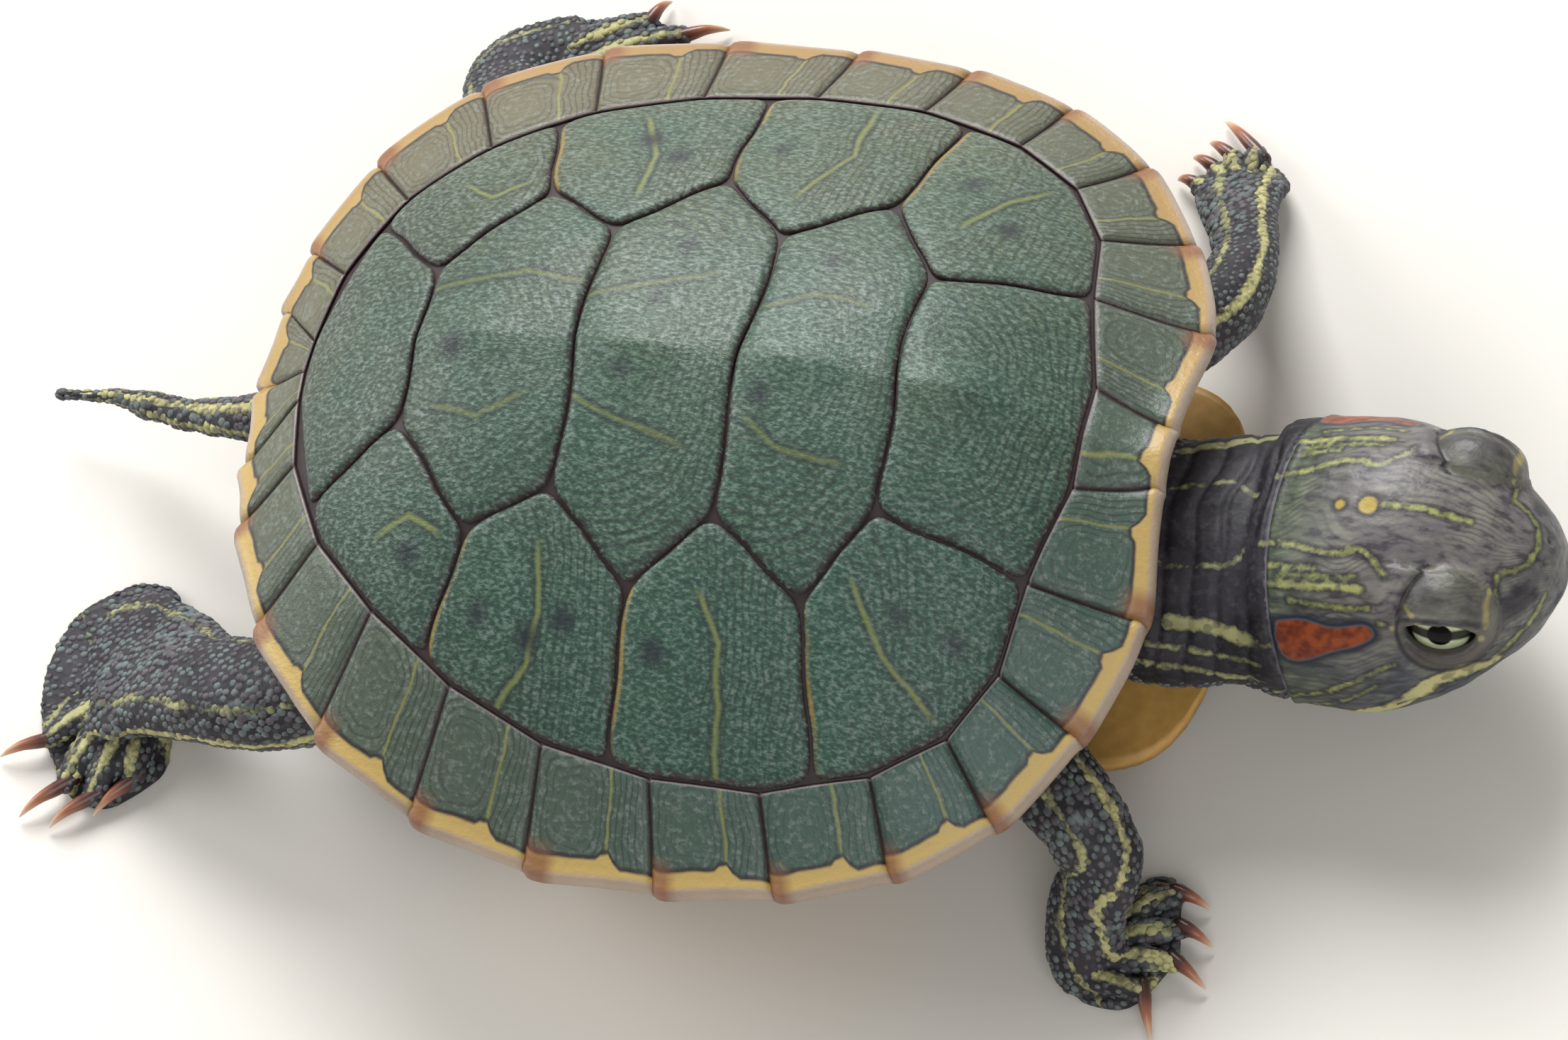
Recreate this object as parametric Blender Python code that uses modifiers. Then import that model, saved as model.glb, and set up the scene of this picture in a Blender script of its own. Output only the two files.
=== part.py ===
"""A young red-eared slider turtle, life size, walking on flat ground.

The shell, the flesh and the eyes are separate solids, and the body is parted where a person would
name its parts. Every size is in millimetres and becomes metres through MM. The turtle is modelled
round the middle of its shell: +X is forward, +Y is its left side and z = 0 is the ground. At the
end an empty moves the whole animal so that the origin lies under the middle of its outer box.
"""

import math

import bmesh
import bpy
from mathutils import Vector

MM = 0.001
GAP = 0.3  # clear space between neighbouring solids

# Shell: the carapace is a domed superellipse, and its rim rises at the front and the rear.
SHELL_LENGTH = 36.0
SHELL_WIDTH = 35.3
SHELL_TOP = 17.3
FRONT_SQUARENESS = 2.6
REAR_SQUARENESS = 2.25
SHOULDER_BUMP = 0.5  # the rim stands out a little beside the neck
RIM_FRONT = 12.4  # height of the rim over the neck
RIM_SIDE = 7.9
RIM_REAR = 10.4
TAIL_DIP = 0.3
DOME_SIDE_POWER = 1.75  # how full the dome is across and along the shell
DOME_END_POWER = 1.2
FRONT_FLARE = 12.0
RIM_THICKNESS = 0.75
DOME_THICKNESS = 1.25
SERRATION = 0.25

# Plastron: a flat plate, wide at the front, and a bridge up to the rim on each side.
BELLY_HEIGHT = 1.3
PLATE_THICKNESS = 0.9
PLASTRON_FRONT = 18.6
PLASTRON_REAR = -15.6
FRONT_LOBE = 8.3  # half widths
REAR_LOBE = 7.0
BRIDGE_FRONT = 7.2
BRIDGE_REAR = -7.4
BRIDGE_TURN = 9.0  # where the belly turns up into the bridge
BRIDGE_TOP = (16.0, 7.4)  # distance from the middle plane, and height
BRIDGE_CURVE = 1.27  # the bridge's width and rise together, over the length of its curve
BRIDGE_FLARE = 1.6  # the lobes widen into the bridge over this length

# Trunk: what fills the shell.
TRUNK_LENGTH = 28.0
TRUNK_WIDTH = 23.0
TRUNK_MIDDLE = 6.8
CEILING_GAP = 0.7  # below the carapace, whose facets hang lower than its true curve

# Head: distance from the nape, half width, crown, throat and the level of greatest width.
NAPE = 21.3
HEAD_SIDE = -0.3  # the head is carried slightly to the right
HEAD_ROWS = (
    (0.0, 5.3, 9.4, 2.9, 5.3),
    (1.5, 5.5, 10.1, 2.7, 5.1),
    (4.0, 5.5, 10.7, 2.6, 5.0),
    (7.2, 4.45, 10.1, 3.2, 5.7),
    (9.3, 2.9, 9.2, 4.1, 6.3),
    (10.3, 1.7, 8.6, 5.1, 6.8),
    (10.7, 0.8, 8.0, 6.0, 7.0),
)
EYE_ALONG = 7.0
EYE_OUT = 2.6
EYE_HEIGHT = 8.0
EYE_RADIUS = 1.65
LID_RADIUS = 2.2  # the lids stand out from the head as part of a larger ball
EYE_OPENING = (1.35, 0.68)  # half length and half height
MOUTH_FRONT = 6.0  # height of the gape at the tip of the beak and at its corner
MOUTH_CORNER = 5.0
JAW_LENGTH = 5.6

TURN_REACH = 0.4  # a ring of a tube faces along this much of its path, each way
SKIN_BROWN = (0.045, 0.040, 0.048)
HEAD_OLIVE = (0.10, 0.13, 0.06)
EYE_GREEN = (0.35, 0.42, 0.18)
SHELL_GREEN = (0.045, 0.085, 0.055)
BELLY_YELLOW = (0.55, 0.33, 0.06)


def at(values):
    """A point given in millimetres, in metres."""
    return Vector(values) * MM


def smooth_path(rows, steps):
    """Rows of numbers drawn out along a Catmull-Rom curve, with steps stretches between rows."""
    rows = [tuple(map(float, row)) for row in rows]
    first = tuple(2 * a - b for a, b in zip(rows[0], rows[1]))
    last = tuple(2 * a - b for a, b in zip(rows[-1], rows[-2]))
    held = [first, *rows, last]
    path = []
    for i in range(1, len(held) - 2):
        for step in range(steps):
            t = step / steps
            path.append(tuple(
                0.5 * (2 * b + (c - a) * t + (2 * a - 5 * b + 4 * c - d) * t * t
                       + (3 * b - a - 3 * c + d) * t * t * t)
                for a, b, c, d in zip(held[i - 1], held[i], held[i + 1], held[i + 2])
            ))
    path.append(rows[-1])
    return path


def row_at(rows, place):
    """The row of numbers at a place between rows, whose first number is the place."""
    path = smooth_path(rows, 12)
    for low, high in zip(path, path[1:]):
        if low[0] <= place <= high[0]:
            share = (place - low[0]) / (high[0] - low[0])
            return [a + (b - a) * share for a, b in zip(low, high)]
    return list(path[-1] if place > path[0][0] else path[0])


def finish_mesh(name, bm, smooth=True):
    """A mesh from a bmesh whose faces are turned outwards."""
    bmesh.ops.recalc_face_normals(bm, faces=bm.faces)
    mesh = bpy.data.meshes.new(name)
    bm.to_mesh(mesh)
    bm.free()
    if smooth:
        mesh.shade_smooth()
        mesh.set_sharp_from_angle(angle=math.radians(40))
    return mesh


def add_object(name, mesh, group):
    piece = bpy.data.objects.new(name, mesh)
    group.objects.link(piece)
    return piece


def paint(piece, colour, roughness):
    """The piece's own material."""
    finish = bpy.data.materials.new(piece.name)
    finish.use_nodes = True
    shader = finish.node_tree.nodes["Principled BSDF"]
    shader.inputs["Base Color"].default_value = (*colour, 1.0)
    shader.inputs["Roughness"].default_value = roughness
    piece.data.materials.clear()
    piece.data.materials.append(finish)


def loft(bm, rings):
    """A closed body over rings of points, all of one length, with a flat cap at each end."""
    loops = [[bm.verts.new(at(point)) for point in ring] for ring in rings]
    count = len(loops[0])
    for low, high in zip(loops, loops[1:]):
        for i in range(count):
            j = (i + 1) % count
            bm.faces.new((low[i], low[j], high[j], high[i]))
    bm.faces.new(loops[0])
    bm.faces.new(list(reversed(loops[-1])))
    bmesh.ops.triangulate(bm, faces=bm.faces)


def lengths_of(path):
    """How far along the path each row lies."""
    run = [0.0]
    for a, b in zip(path, path[1:]):
        run.append(run[-1] + (Vector(b[:3]) - Vector(a[:3])).length)
    return run


def tube_rings(path, sides, start=0.0, end=None):
    """Elliptical rings square to a path of (x, y, z, half width, half height), between two places."""
    run = lengths_of(path)
    end = run[-1] if end is None else end

    def row(place):
        place = min(max(place, 0.0), run[-1])
        i = max(k for k in range(len(run) - 1) if run[k] <= place)
        share = (place - run[i]) / (run[i + 1] - run[i])
        return [a + (b - a) * share for a, b in zip(path[i], path[i + 1])]

    inner = [place for place in run if start + 0.25 < place < end - 0.25]
    rings = []
    for place in [start, *inner, end]:
        x, y, z, width, height = row(place)
        ahead, behind = row(place + TURN_REACH), row(place - TURN_REACH)
        along = (Vector(ahead[:3]) - Vector(behind[:3])).normalized()
        across = along.cross(Vector((0, 0, 1))).normalized()
        up = across.cross(along)
        rings.append([
            Vector((x, y, z)) + across * width * math.cos(math.tau * k / sides)
            + up * height * math.sin(math.tau * k / sides)
            for k in range(sides)
        ])
    return rings


def tube(name, path, sides, start=0.0, end=None):
    bm = bmesh.new()
    loft(bm, tube_rings(path, sides, start, end))
    return finish_mesh(name, bm)


def combine(piece, other, how):
    """A Boolean of two objects, applied to the first. The second is removed if it is joined on."""
    change = piece.modifiers.new(how.title(), "BOOLEAN")
    change.operation = how
    change.solver = "EXACT"
    change.use_self = how == "UNION"
    change.object = other
    bpy.context.view_layer.update()
    result = bpy.data.meshes.new_from_object(
        piece.evaluated_get(bpy.context.evaluated_depsgraph_get()))
    piece.modifiers.clear()
    piece.data = result
    if how == "UNION":
        bpy.data.objects.remove(other)


def keep_outer_skin(bm):
    """Fills any pocket closed in between joined shapes, by keeping only the outer surface."""
    left = set(bm.verts)
    islands = []
    while left:
        island, edge = set(), {left.pop()}
        while edge:
            island |= edge
            edge = {e.other_vert(v) for v in edge for e in v.link_edges} - island
        left -= island
        islands.append(island)
    outer = max(islands, key=len)
    inner = [v for island in islands if island is not outer for v in island]
    bmesh.ops.delete(bm, geom=inner, context="VERTS")


def flatten_under(piece):
    """Cuts the piece off level with the ground, which leaves a small flat to stand on."""
    bm = bmesh.new()
    bm.from_mesh(piece.data)
    cut = bmesh.ops.bisect_plane(
        bm, geom=[*bm.verts, *bm.edges, *bm.faces], plane_co=(0, 0, 0),
        plane_no=(0, 0, 1), clear_inner=True, dist=1e-7)
    edges = [item for item in cut["geom_cut"] if isinstance(item, bmesh.types.BMEdge)]
    bmesh.ops.holes_fill(bm, edges=edges, sides=0)
    keep_outer_skin(bm)
    bmesh.ops.triangulate(bm, faces=bm.faces)
    bm.to_mesh(piece.data)
    bm.free()


# The shell's surface -----------------------------------------------------------------------------

def rim_radius(angle):
    """Distance of the rim from the shell's middle, seen from above."""
    ahead, aside = math.cos(angle), math.sin(angle)
    power = FRONT_SQUARENESS if ahead > 0 else REAR_SQUARENESS
    reach = (abs(2 * ahead / SHELL_LENGTH) ** power
             + abs(2 * aside / SHELL_WIDTH) ** power) ** (-1 / power)
    turned = abs(math.degrees(math.atan2(aside, ahead)))
    return reach + SHOULDER_BUMP * math.exp(-((turned - 20) / 9) ** 2)


def rim_height(angle):
    """Height of the rim: highest over the neck, lowest at the bridge, raised again at the rear."""
    aside = min(1.0, abs(rim_radius(angle) * math.sin(angle)) * 2 / SHELL_WIDTH)
    if math.cos(angle) > 0:
        return RIM_FRONT - (RIM_FRONT - RIM_SIDE) * math.sin(math.pi / 2 * aside) ** 1.3
    dip = TAIL_DIP * math.exp(-(aside * SHELL_WIDTH / 8) ** 2)
    return RIM_SIDE + (RIM_REAR - RIM_SIDE) * (1 - aside ** 6) - dip


def dome_height(x, y):
    """Height of the carapace over a place on the ground."""
    angle = math.atan2(y, x)
    share = min(1.0, math.hypot(x, y) / rim_radius(angle))
    rim = rim_height(angle)
    power = DOME_SIDE_POWER + DOME_END_POWER * abs(math.cos(angle)) ** 4
    flare = FRONT_FLARE * max(0.0, math.cos(angle)) ** 8
    return rim + (SHELL_TOP - rim) * (1 - share ** power) - flare * share ** 6 * (1 - share)


def under_dome(x, y):
    """Height of the carapace's inner face, which comes closer to the outer one at the rim."""
    share = min(1.0, math.hypot(x, y) / rim_radius(math.atan2(y, x)))
    return dome_height(x, y) - DOME_THICKNESS + (DOME_THICKNESS - RIM_THICKNESS) * share ** 8


def disc(bm, shares, spokes, radius, height):
    """A round sheet over rings at shares of a radius. Returns its outer loop."""
    centre = bm.verts.new(at((0, 0, height(0, 0))))
    inner = None
    for share in shares:
        ring = []
        for k in range(spokes):
            angle = math.tau * k / spokes
            x = share * radius(angle) * math.cos(angle)
            y = share * radius(angle) * math.sin(angle)
            ring.append(bm.verts.new(at((x, y, height(x, y)))))
        for k in range(spokes):
            j = (k + 1) % spokes
            if inner is None:
                bm.faces.new((centre, ring[k], ring[j]))
            else:
                bm.faces.new((inner[k], ring[k], ring[j], inner[j]))
        inner = ring
    return inner


def two_sided(name, shares, spokes, radius, upper, lower):
    """A closed body between two round sheets, each with its own rings."""
    bm = bmesh.new()
    top = disc(bm, shares[0], spokes, radius, upper)
    bottom = disc(bm, shares[1], spokes, radius, lower)
    for k in range(spokes):
        j = (k + 1) % spokes
        if (top[k].co - bottom[k].co).length > 1e-6:
            bm.faces.new((top[k], bottom[k], bottom[j], top[j]))
    bmesh.ops.remove_doubles(bm, verts=bm.verts, dist=1e-6)
    bmesh.ops.triangulate(bm, faces=bm.faces)
    return finish_mesh(name, bm)


def make_carapace(group):
    spokes = 78  # three to a marginal plate, of which there are 13 a side

    def notched(angle):
        step = round(angle / math.tau * spokes)
        return rim_radius(angle) + (SERRATION if step % 3 == 1 else 0.0)

    shares = (0.25, 0.5, 0.72, 0.88, 1.0), (0.4, 0.72, 1.0)
    mesh = two_sided("carapace", shares, spokes, notched, dome_height, under_dome)
    paint(add_object("carapace", mesh, group), SHELL_GREEN, 0.45)


def make_trunk(group, name, grow):
    """The trunk, a cushion between carapace and plastron. grow makes the cutter for the limbs."""
    def outline(angle):
        ahead, aside = math.cos(angle), math.sin(angle)
        return ((2 * ahead / TRUNK_LENGTH) ** 2 + (2 * aside / TRUNK_WIDTH) ** 2) ** -0.5 + grow

    def fullness(x, y):
        return 1 - min(1.0, math.hypot(x, y) / outline(math.atan2(y, x))) ** 4

    def upper(x, y):
        ceiling = under_dome(x, y) - CEILING_GAP + grow
        return TRUNK_MIDDLE + (ceiling - TRUNK_MIDDLE) * fullness(x, y)

    def lower(x, y):
        floor = BELLY_HEIGHT + PLATE_THICKNESS + GAP + 0.1 - grow
        return TRUNK_MIDDLE - (TRUNK_MIDDLE - floor) * fullness(x, y)

    shares = (0.4, 0.8, 0.96, 1.0)
    return add_object(name, two_sided(name, (shares, shares), 28, outline, upper, lower), group)


def belly_point(x, out):
    """A point of the plastron's outer face, out along the belly and then up the bridge."""
    side = math.copysign(1, out)
    out = abs(out)
    if out <= BRIDGE_TURN:
        return x, side * out, BELLY_HEIGHT
    width = BRIDGE_TOP[0] - BRIDGE_TURN
    rise = BRIDGE_TOP[1] - BELLY_HEIGHT
    turn = min(1.0, (out - BRIDGE_TURN) / (width + rise) * BRIDGE_CURVE) * math.pi / 2
    y = BRIDGE_TURN + width * math.sin(turn)
    return x, side * y, BELLY_HEIGHT + rise * (1 - math.cos(turn))


def plastron_reach(x):
    """How far the plastron reaches out from its middle line, measured along its face."""
    width = BRIDGE_TOP[0] - BRIDGE_TURN
    bridge = BRIDGE_TURN + (width + BRIDGE_TOP[1] - BELLY_HEIGHT) / BRIDGE_CURVE
    if BRIDGE_REAR <= x <= BRIDGE_FRONT:
        return bridge
    if x > BRIDGE_FRONT:
        share = (x - BRIDGE_FRONT) / (PLASTRON_FRONT - BRIDGE_FRONT)
        lobe, past = FRONT_LOBE * (1 - share ** 8) ** 0.4, x - BRIDGE_FRONT
    else:
        share = (BRIDGE_REAR - x) / (BRIDGE_REAR - PLASTRON_REAR)
        lobe, past = REAR_LOBE * (1 - share ** 4) ** 0.5, BRIDGE_REAR - x
    return lobe + (bridge - lobe) * max(0.0, 1 - past / BRIDGE_FLARE)


def bridge_ends(out):
    """Where the bridge ends behind and in front, at a distance out along the plastron's face."""
    full = plastron_reach(0.0)
    behind, before = [BRIDGE_FLARE * (full - out) / (full - lobe) for lobe in (REAR_LOBE, FRONT_LOBE)]
    return BRIDGE_REAR - behind, BRIDGE_FRONT + before


def belly_sheet(name, rows, group):
    """A sheet over rows of places on the plastron's outer face, given its thickness inwards."""
    bm = bmesh.new()
    grid = [[bm.verts.new(at(belly_point(x, out))) for x, out in row] for row in rows]
    for low, high in zip(grid, grid[1:]):
        for i in range(len(low) - 1):
            bm.faces.new((low[i], low[i + 1], high[i + 1], high[i]))
    for face in bm.faces:
        face.normal_update()
    if max(bm.faces, key=lambda face: abs(face.normal.z)).normal.z > 0:
        bmesh.ops.reverse_faces(bm, faces=bm.faces)
    mesh = bpy.data.meshes.new(name)
    bm.to_mesh(mesh)
    bm.free()
    plate = add_object(name, mesh, group)
    wall = plate.modifiers.new("Wall", "SOLIDIFY")
    wall.thickness = PLATE_THICKNESS * MM
    wall.offset = -1
    plate.data.shade_smooth()
    paint(plate, BELLY_YELLOW, 0.5)


def make_plastron(group):
    """The flat belly plate, and the bridge that curves up from it to the rim on each side."""
    flare = (0.85 * BRIDGE_FLARE, BRIDGE_FLARE)
    places = [PLASTRON_REAR + 0.05, -15.2, -14.2, -12.6, -10.8, BRIDGE_REAR - flare[1],
              BRIDGE_REAR - flare[0], BRIDGE_REAR, -3.7, 0.0, 3.6, BRIDGE_FRONT, BRIDGE_FRONT + flare[0],
              BRIDGE_FRONT + flare[1], 10.5, 12.5, 14.5, 16.2, 17.4, 18.2, PLASTRON_FRONT - 0.05]
    across = (-1, -0.8, -0.4, 0, 0.4, 0.8, 1)
    reach = {x: min(plastron_reach(x), BRIDGE_TURN - GAP / 2) for x in places}
    belly_sheet("plastron", [[(x, share * reach[x]) for share in across] for x in places], group)
    start, steps = BRIDGE_TURN + GAP / 2, 6
    outs = [start + (plastron_reach(0.0) - start) * step / steps for step in range(steps + 1)]
    for word, side in (("left", 1), ("right", -1)):
        rows = []
        for out in outs:
            behind, before = bridge_ends(out)
            rows.append([(behind + (before - behind) * step / steps, side * out)
                         for step in range(steps + 1)])
        belly_sheet("bridge_" + word, rows, group)


# The head ----------------------------------------------------------------------------------------

def head_ring(along, sides=20):
    """The head's outline across, at a distance from the nape."""
    _, width, crown, throat, level = row_at(HEAD_ROWS, along)
    ring = []
    for k in range(sides):
        turn = math.tau * k / sides
        out, up = math.cos(turn), math.sin(turn)
        tall = crown - level if up > 0 else level - throat
        ring.append((NAPE + along, HEAD_SIDE + math.copysign(abs(out) ** 0.86, out) * width,
                     level + math.copysign(abs(up) ** 0.86, up) * tall))
    return ring


def ball(name, centre, radii, group):
    bm = bmesh.new()
    bmesh.ops.create_uvsphere(bm, u_segments=12, v_segments=8, radius=MM)
    bmesh.ops.scale(bm, verts=bm.verts, vec=radii)
    bmesh.ops.translate(bm, verts=bm.verts, vec=at(centre))
    return add_object(name, finish_mesh(name, bm), group)


def mouth_wedge(name, gap, group):
    """A block below the gape, from the tip of the beak to its corner."""
    tip = NAPE + HEAD_ROWS[-1][0] + 1
    corner = tip - 1 - JAW_LENGTH - gap
    low = -1.0
    rings = [[(x, side, z) for x, z in ((corner, low), (tip, low), (tip, MOUTH_FRONT + gap),
                                        (corner, MOUTH_CORNER + gap))] for side in (-8, 8)]
    bm = bmesh.new()
    loft(bm, rings)
    return add_object(name, finish_mesh(name, bm, smooth=False), group)


def make_head(group, cutters):
    """Head with lids, sockets and gape, lower jaw and two eyeballs."""
    places = (0.0, 1.0, 2.4, 4.0, 5.5, 6.8, 8.0, 9.0, 9.8, 10.3, 10.7)
    for name, gap in (("head", GAP), ("jaw", 0.0)):
        bm = bmesh.new()
        loft(bm, [head_ring(place) for place in places])
        piece = add_object(name, finish_mesh(name, bm), group)
        wedge = mouth_wedge(name + "_gape", gap, cutters)
        combine(piece, wedge, "DIFFERENCE" if name == "head" else "INTERSECT")
        paint(piece, HEAD_OLIVE, 0.45)
    head = bpy.data.objects["head"]
    for side, word in ((1, "left"), (-1, "right")):
        centre = Vector((NAPE + EYE_ALONG, HEAD_SIDE + side * EYE_OUT, EYE_HEIGHT))
        outward = centre + Vector((0, side * LID_RADIUS * 0.85, 0))
        length, height = EYE_OPENING
        combine(head, ball("lids_" + word, centre, (LID_RADIUS,) * 3, cutters), "UNION")
        for cut, place, radii in (("socket_", centre, (EYE_RADIUS + GAP,) * 3),
                                  ("opening_", outward, (length, LID_RADIUS * 0.8, height))):
            combine(head, ball(cut + word, place, radii, cutters), "DIFFERENCE")
        eye = ball("eye_" + word, centre, (EYE_RADIUS,) * 3, group)
        paint(eye, EYE_GREEN, 0.12)
    paint(head, HEAD_OLIVE, 0.45)


# Legs: each runs from inside the trunk to the wrist or ankle and on into the palm, as rows of a
# point with its half width and half height, and cuts part it. Toes end in claws, with skin between.

LEGS = {
    "foreleg_right": dict(
        arm=((9.5, -6.5, 7.2, 2.3, 2.4), (12.8, -9.2, 6.6, 2.1, 2.0), (15.8, -11.8, 5.7, 1.75, 1.5),
             (16.6, -13.0, 4.6, 1.7, 1.2), (16.0, -14.0, 3.1, 1.7, 1.0),
             (15.8, -14.8, 2.0, 1.6, 0.9)),
        palm=((15.9, -15.4, 1.2, 1.6, 0.85), (16.2, -15.8, 0.6, 1.4, 0.7)),
        toes=(((16.6, -13.7, 0.8), (18.7, -12.2, 0.8), (19.8, -12.5, 0.3)),
              ((16.3, -14.5, 0.9), (19.2, -13.6, 0.8), (20.2, -14.0, 0.3)),
              ((16.2, -15.3, 1.0), (19.2, -15.0, 0.8), (20.3, -15.7, 0.3)),
              ((16.0, -16.0, 0.9), (18.2, -16.4, 0.8), (18.7, -18.0, 0.3)),
              ((16.8, -13.1, 0.5), (17.8, -12.1, 0.5), (18.5, -12.0, 0.3))),
        web=((15.5, -16.5), (15.6, -14.8), (16.4, -12.9), (17.3, -11.6), (18.5, -11.7),
             (18.7, -13.0), (18.9, -14.3), (18.4, -15.7), (17.3, -16.8))),
    "foreleg_left": dict(
        arm=((10.0, 4.5, 7.4, 2.3, 2.4), (14.0, 6.6, 7.0, 2.0, 1.9), (16.5, 9.4, 5.9, 1.7, 1.5),
             (16.8, 12.0, 4.6, 1.4, 1.2), (16.1, 14.1, 3.2, 1.4, 1.0), (15.4, 15.7, 2.1, 1.7, 0.9)),
        palm=((15.1, 16.6, 1.4, 1.9, 0.85), (15.0, 17.2, 0.8, 1.8, 0.8),
              (14.9, 17.8, 0.5, 1.5, 0.65)),
        toes=(((15.4, 17.0, 1.0), (15.2, 18.7, 0.9), (13.5, 20.2, 0.3)),
              ((14.9, 17.2, 0.9), (14.2, 18.5, 0.7), (13.1, 19.2, 0.3)),
              ((14.4, 17.0, 0.8), (13.6, 18.0, 0.6), (12.6, 18.5, 0.3)),
              ((14.0, 16.6, 0.8), (13.1, 17.2, 0.6), (12.2, 17.5, 0.3)),
              ((15.7, 17.2, 0.8), (15.7, 17.9, 0.7), (15.3, 19.1, 0.3))),
        web=((15.7, 16.3), (15.8, 17.4), (15.4, 18.5), (14.1, 18.2), (13.2, 17.2), (13.9, 16.0))),
    "hindleg_right": dict(
        arm=((-9.0, -6.0, 7.0, 2.9, 2.7), (-12.8, -9.0, 6.6, 2.7, 2.4), (-16.0, -10.3, 5.8, 2.4, 2.0),
             (-19.2, -9.9, 4.5, 2.35, 1.6), (-21.6, -8.9, 3.0, 2.9, 1.3),
             (-22.8, -8.5, 2.1, 3.2, 1.1)),
        palm=((-23.7, -8.1, 1.5, 3.4, 1.0), (-24.6, -7.95, 0.8, 3.4, 0.85),
              (-25.5, -7.95, 0.45, 3.0, 0.6)),
        toes=(((-24.3, -9.2, 1.0), (-26.6, -11.1, 0.7), (-28.5, -11.8, 0.3)),
              ((-24.0, -9.6, 1.0), (-25.5, -12.9, 0.7), (-27.1, -14.2, 0.3)),
              ((-23.4, -10.2, 0.9), (-24.3, -13.3, 0.7), (-25.8, -14.5, 0.3)),
              ((-22.9, -10.3, 0.8), (-22.9, -12.4, 0.6), (-24.2, -13.8, 0.3))),
        web=((-22.7, -7.4), (-23.0, -4.5), (-24.4, -3.9), (-25.9, -4.6), (-27.1, -5.9),
             (-27.6, -8.2), (-27.2, -10.2), (-26.4, -11.7), (-25.3, -13.1), (-23.9, -13.4),
             (-22.4, -12.3), (-21.9, -11.0))),
    "hindleg_left": dict(
        arm=((-8.5, 6.0, 7.0, 2.9, 2.7), (-10.5, 10.0, 6.2, 2.6, 2.3), (-12.4, 13.2, 4.9, 2.2, 1.8),
             (-13.8, 15.6, 3.6, 1.9, 1.4), (-14.3, 17.2, 2.6, 1.9, 1.1)),
        palm=((-14.5, 18.4, 1.7, 2.1, 1.0), (-13.8, 19.4, 0.9, 2.3, 0.95),
              (-12.3, 20.1, 0.55, 2.3, 0.7)),
        toes=(((-12.5, 20.5, 0.9), (-10.1, 22.0, 0.7), (-9.6, 23.2, 0.3)),
              ((-12.0, 19.9, 0.9), (-8.6, 21.5, 0.7), (-7.0, 22.2, 0.3)),
              ((-12.0, 19.4, 0.9), (-8.9, 20.2, 0.7), (-7.2, 20.6, 0.3)),
              ((-12.2, 18.9, 0.8), (-9.9, 18.9, 0.6), (-8.3, 18.9, 0.3))),
        web=((-15.0, 17.6), (-16.4, 18.6), (-16.5, 20.0), (-15.6, 21.1), (-13.5, 21.8),
             (-11.1, 22.3), (-9.2, 21.9), (-8.7, 20.4), (-9.9, 18.5), (-12.4, 17.6))),
}
FORE_NAMES = ("upper", "forearm", "foot")
HIND_NAMES = ("thigh", "shank", "foot")
FORE_TOE = (0.6, 0.55)  # half width and half height
HIND_TOE = (0.75, 0.6)
CLAW_ROOT = 0.34
CLAW_TIP = 0.25
JOINT_SHARE = 0.56  # how far along the arm the elbow or knee parts it
WEB_THICKNESS = 0.55
BELOW_GROUND = 0.2  # feet reach this far down before they are cut off level with the ground


def web_plate(name, outline, group):
    """The skin between the toes, a flat plate with a smooth outline."""
    closed = [*outline, *outline[:3]]
    rounded = smooth_path(closed, 2)[2:2 + 2 * len(outline)]
    bm = bmesh.new()
    loft(bm, [[(x, y, z) for x, y in rounded] for z in (-BELOW_GROUND, WEB_THICKNESS)])
    return add_object(name, finish_mesh(name, bm, smooth=False), group)


def toe_path(points, toe):
    """A toe that narrows to a blunt end, and the claw that curves down from it."""
    root, end, tip = (Vector(point) for point in points)
    base = end.lerp(tip, 0.12)
    bend = end.lerp(tip, 0.55) + Vector((0, 0, 0.14))
    return ((*root, *toe), (*end, toe[0] * 0.8, toe[1] * 0.85),
            (*base, CLAW_ROOT, CLAW_ROOT * 1.1), (*bend, 0.3, 0.3), (*tip, CLAW_TIP, CLAW_TIP))


def make_leg(group, cutters, name, leg, pocket):
    names = FORE_NAMES if name.startswith("fore") else HIND_NAMES
    toe = FORE_TOE if name.startswith("fore") else HIND_TOE
    path = smooth_path((*leg["arm"], *leg["palm"]), 2)
    run = lengths_of(path)
    wrist = run[2 * len(leg["arm"]) - 2]
    cuts = (0.0, JOINT_SHARE * wrist, wrist, run[-1])
    for word, start, end in zip(names, cuts, cuts[1:]):
        mesh = tube(name + "_" + word, path, 10, start + (GAP if start else 0.0), end)
        piece = add_object(name + "_" + word, mesh, group)
        if word in ("upper", "thigh"):
            combine(piece, pocket, "DIFFERENCE")
        if word == "foot":
            for points in leg["toes"]:
                toe_mesh = tube("toe", toe_path(points, toe), 6)
                combine(piece, add_object("toe", toe_mesh, cutters), "UNION")
            combine(piece, web_plate("web", leg["web"], cutters), "UNION")
            flatten_under(piece)
        paint(piece, SKIN_BROWN, 0.55)


TAIL = ((-12.0, 0.2, 7.6, 2.3, 2.0), (-16.5, 0.5, 7.0, 1.5, 1.4), (-20.0, 0.9, 5.8, 1.0, 0.95),
        (-22.5, 1.4, 4.5, 0.75, 0.75), (-25.2, 2.2, 3.3, 0.62, 0.6), (-27.0, 2.6, 2.8, 0.36, 0.36),
        (-29.7, 2.75, 2.2, 0.25, 0.25))
NECK = ((9.0, -0.8, 7.0, 4.3, 3.5), (14.0, -1.2, 6.3, 4.7, 3.4), (17.0, -1.15, 5.9, 5.0, 3.25),
        (18.6, -0.6, 5.85, 5.05, 3.3), (20.0, HEAD_SIDE, 5.85, 5.1, 3.35),
        (NAPE - GAP, HEAD_SIDE, 5.85, 5.1, 3.4))


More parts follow.
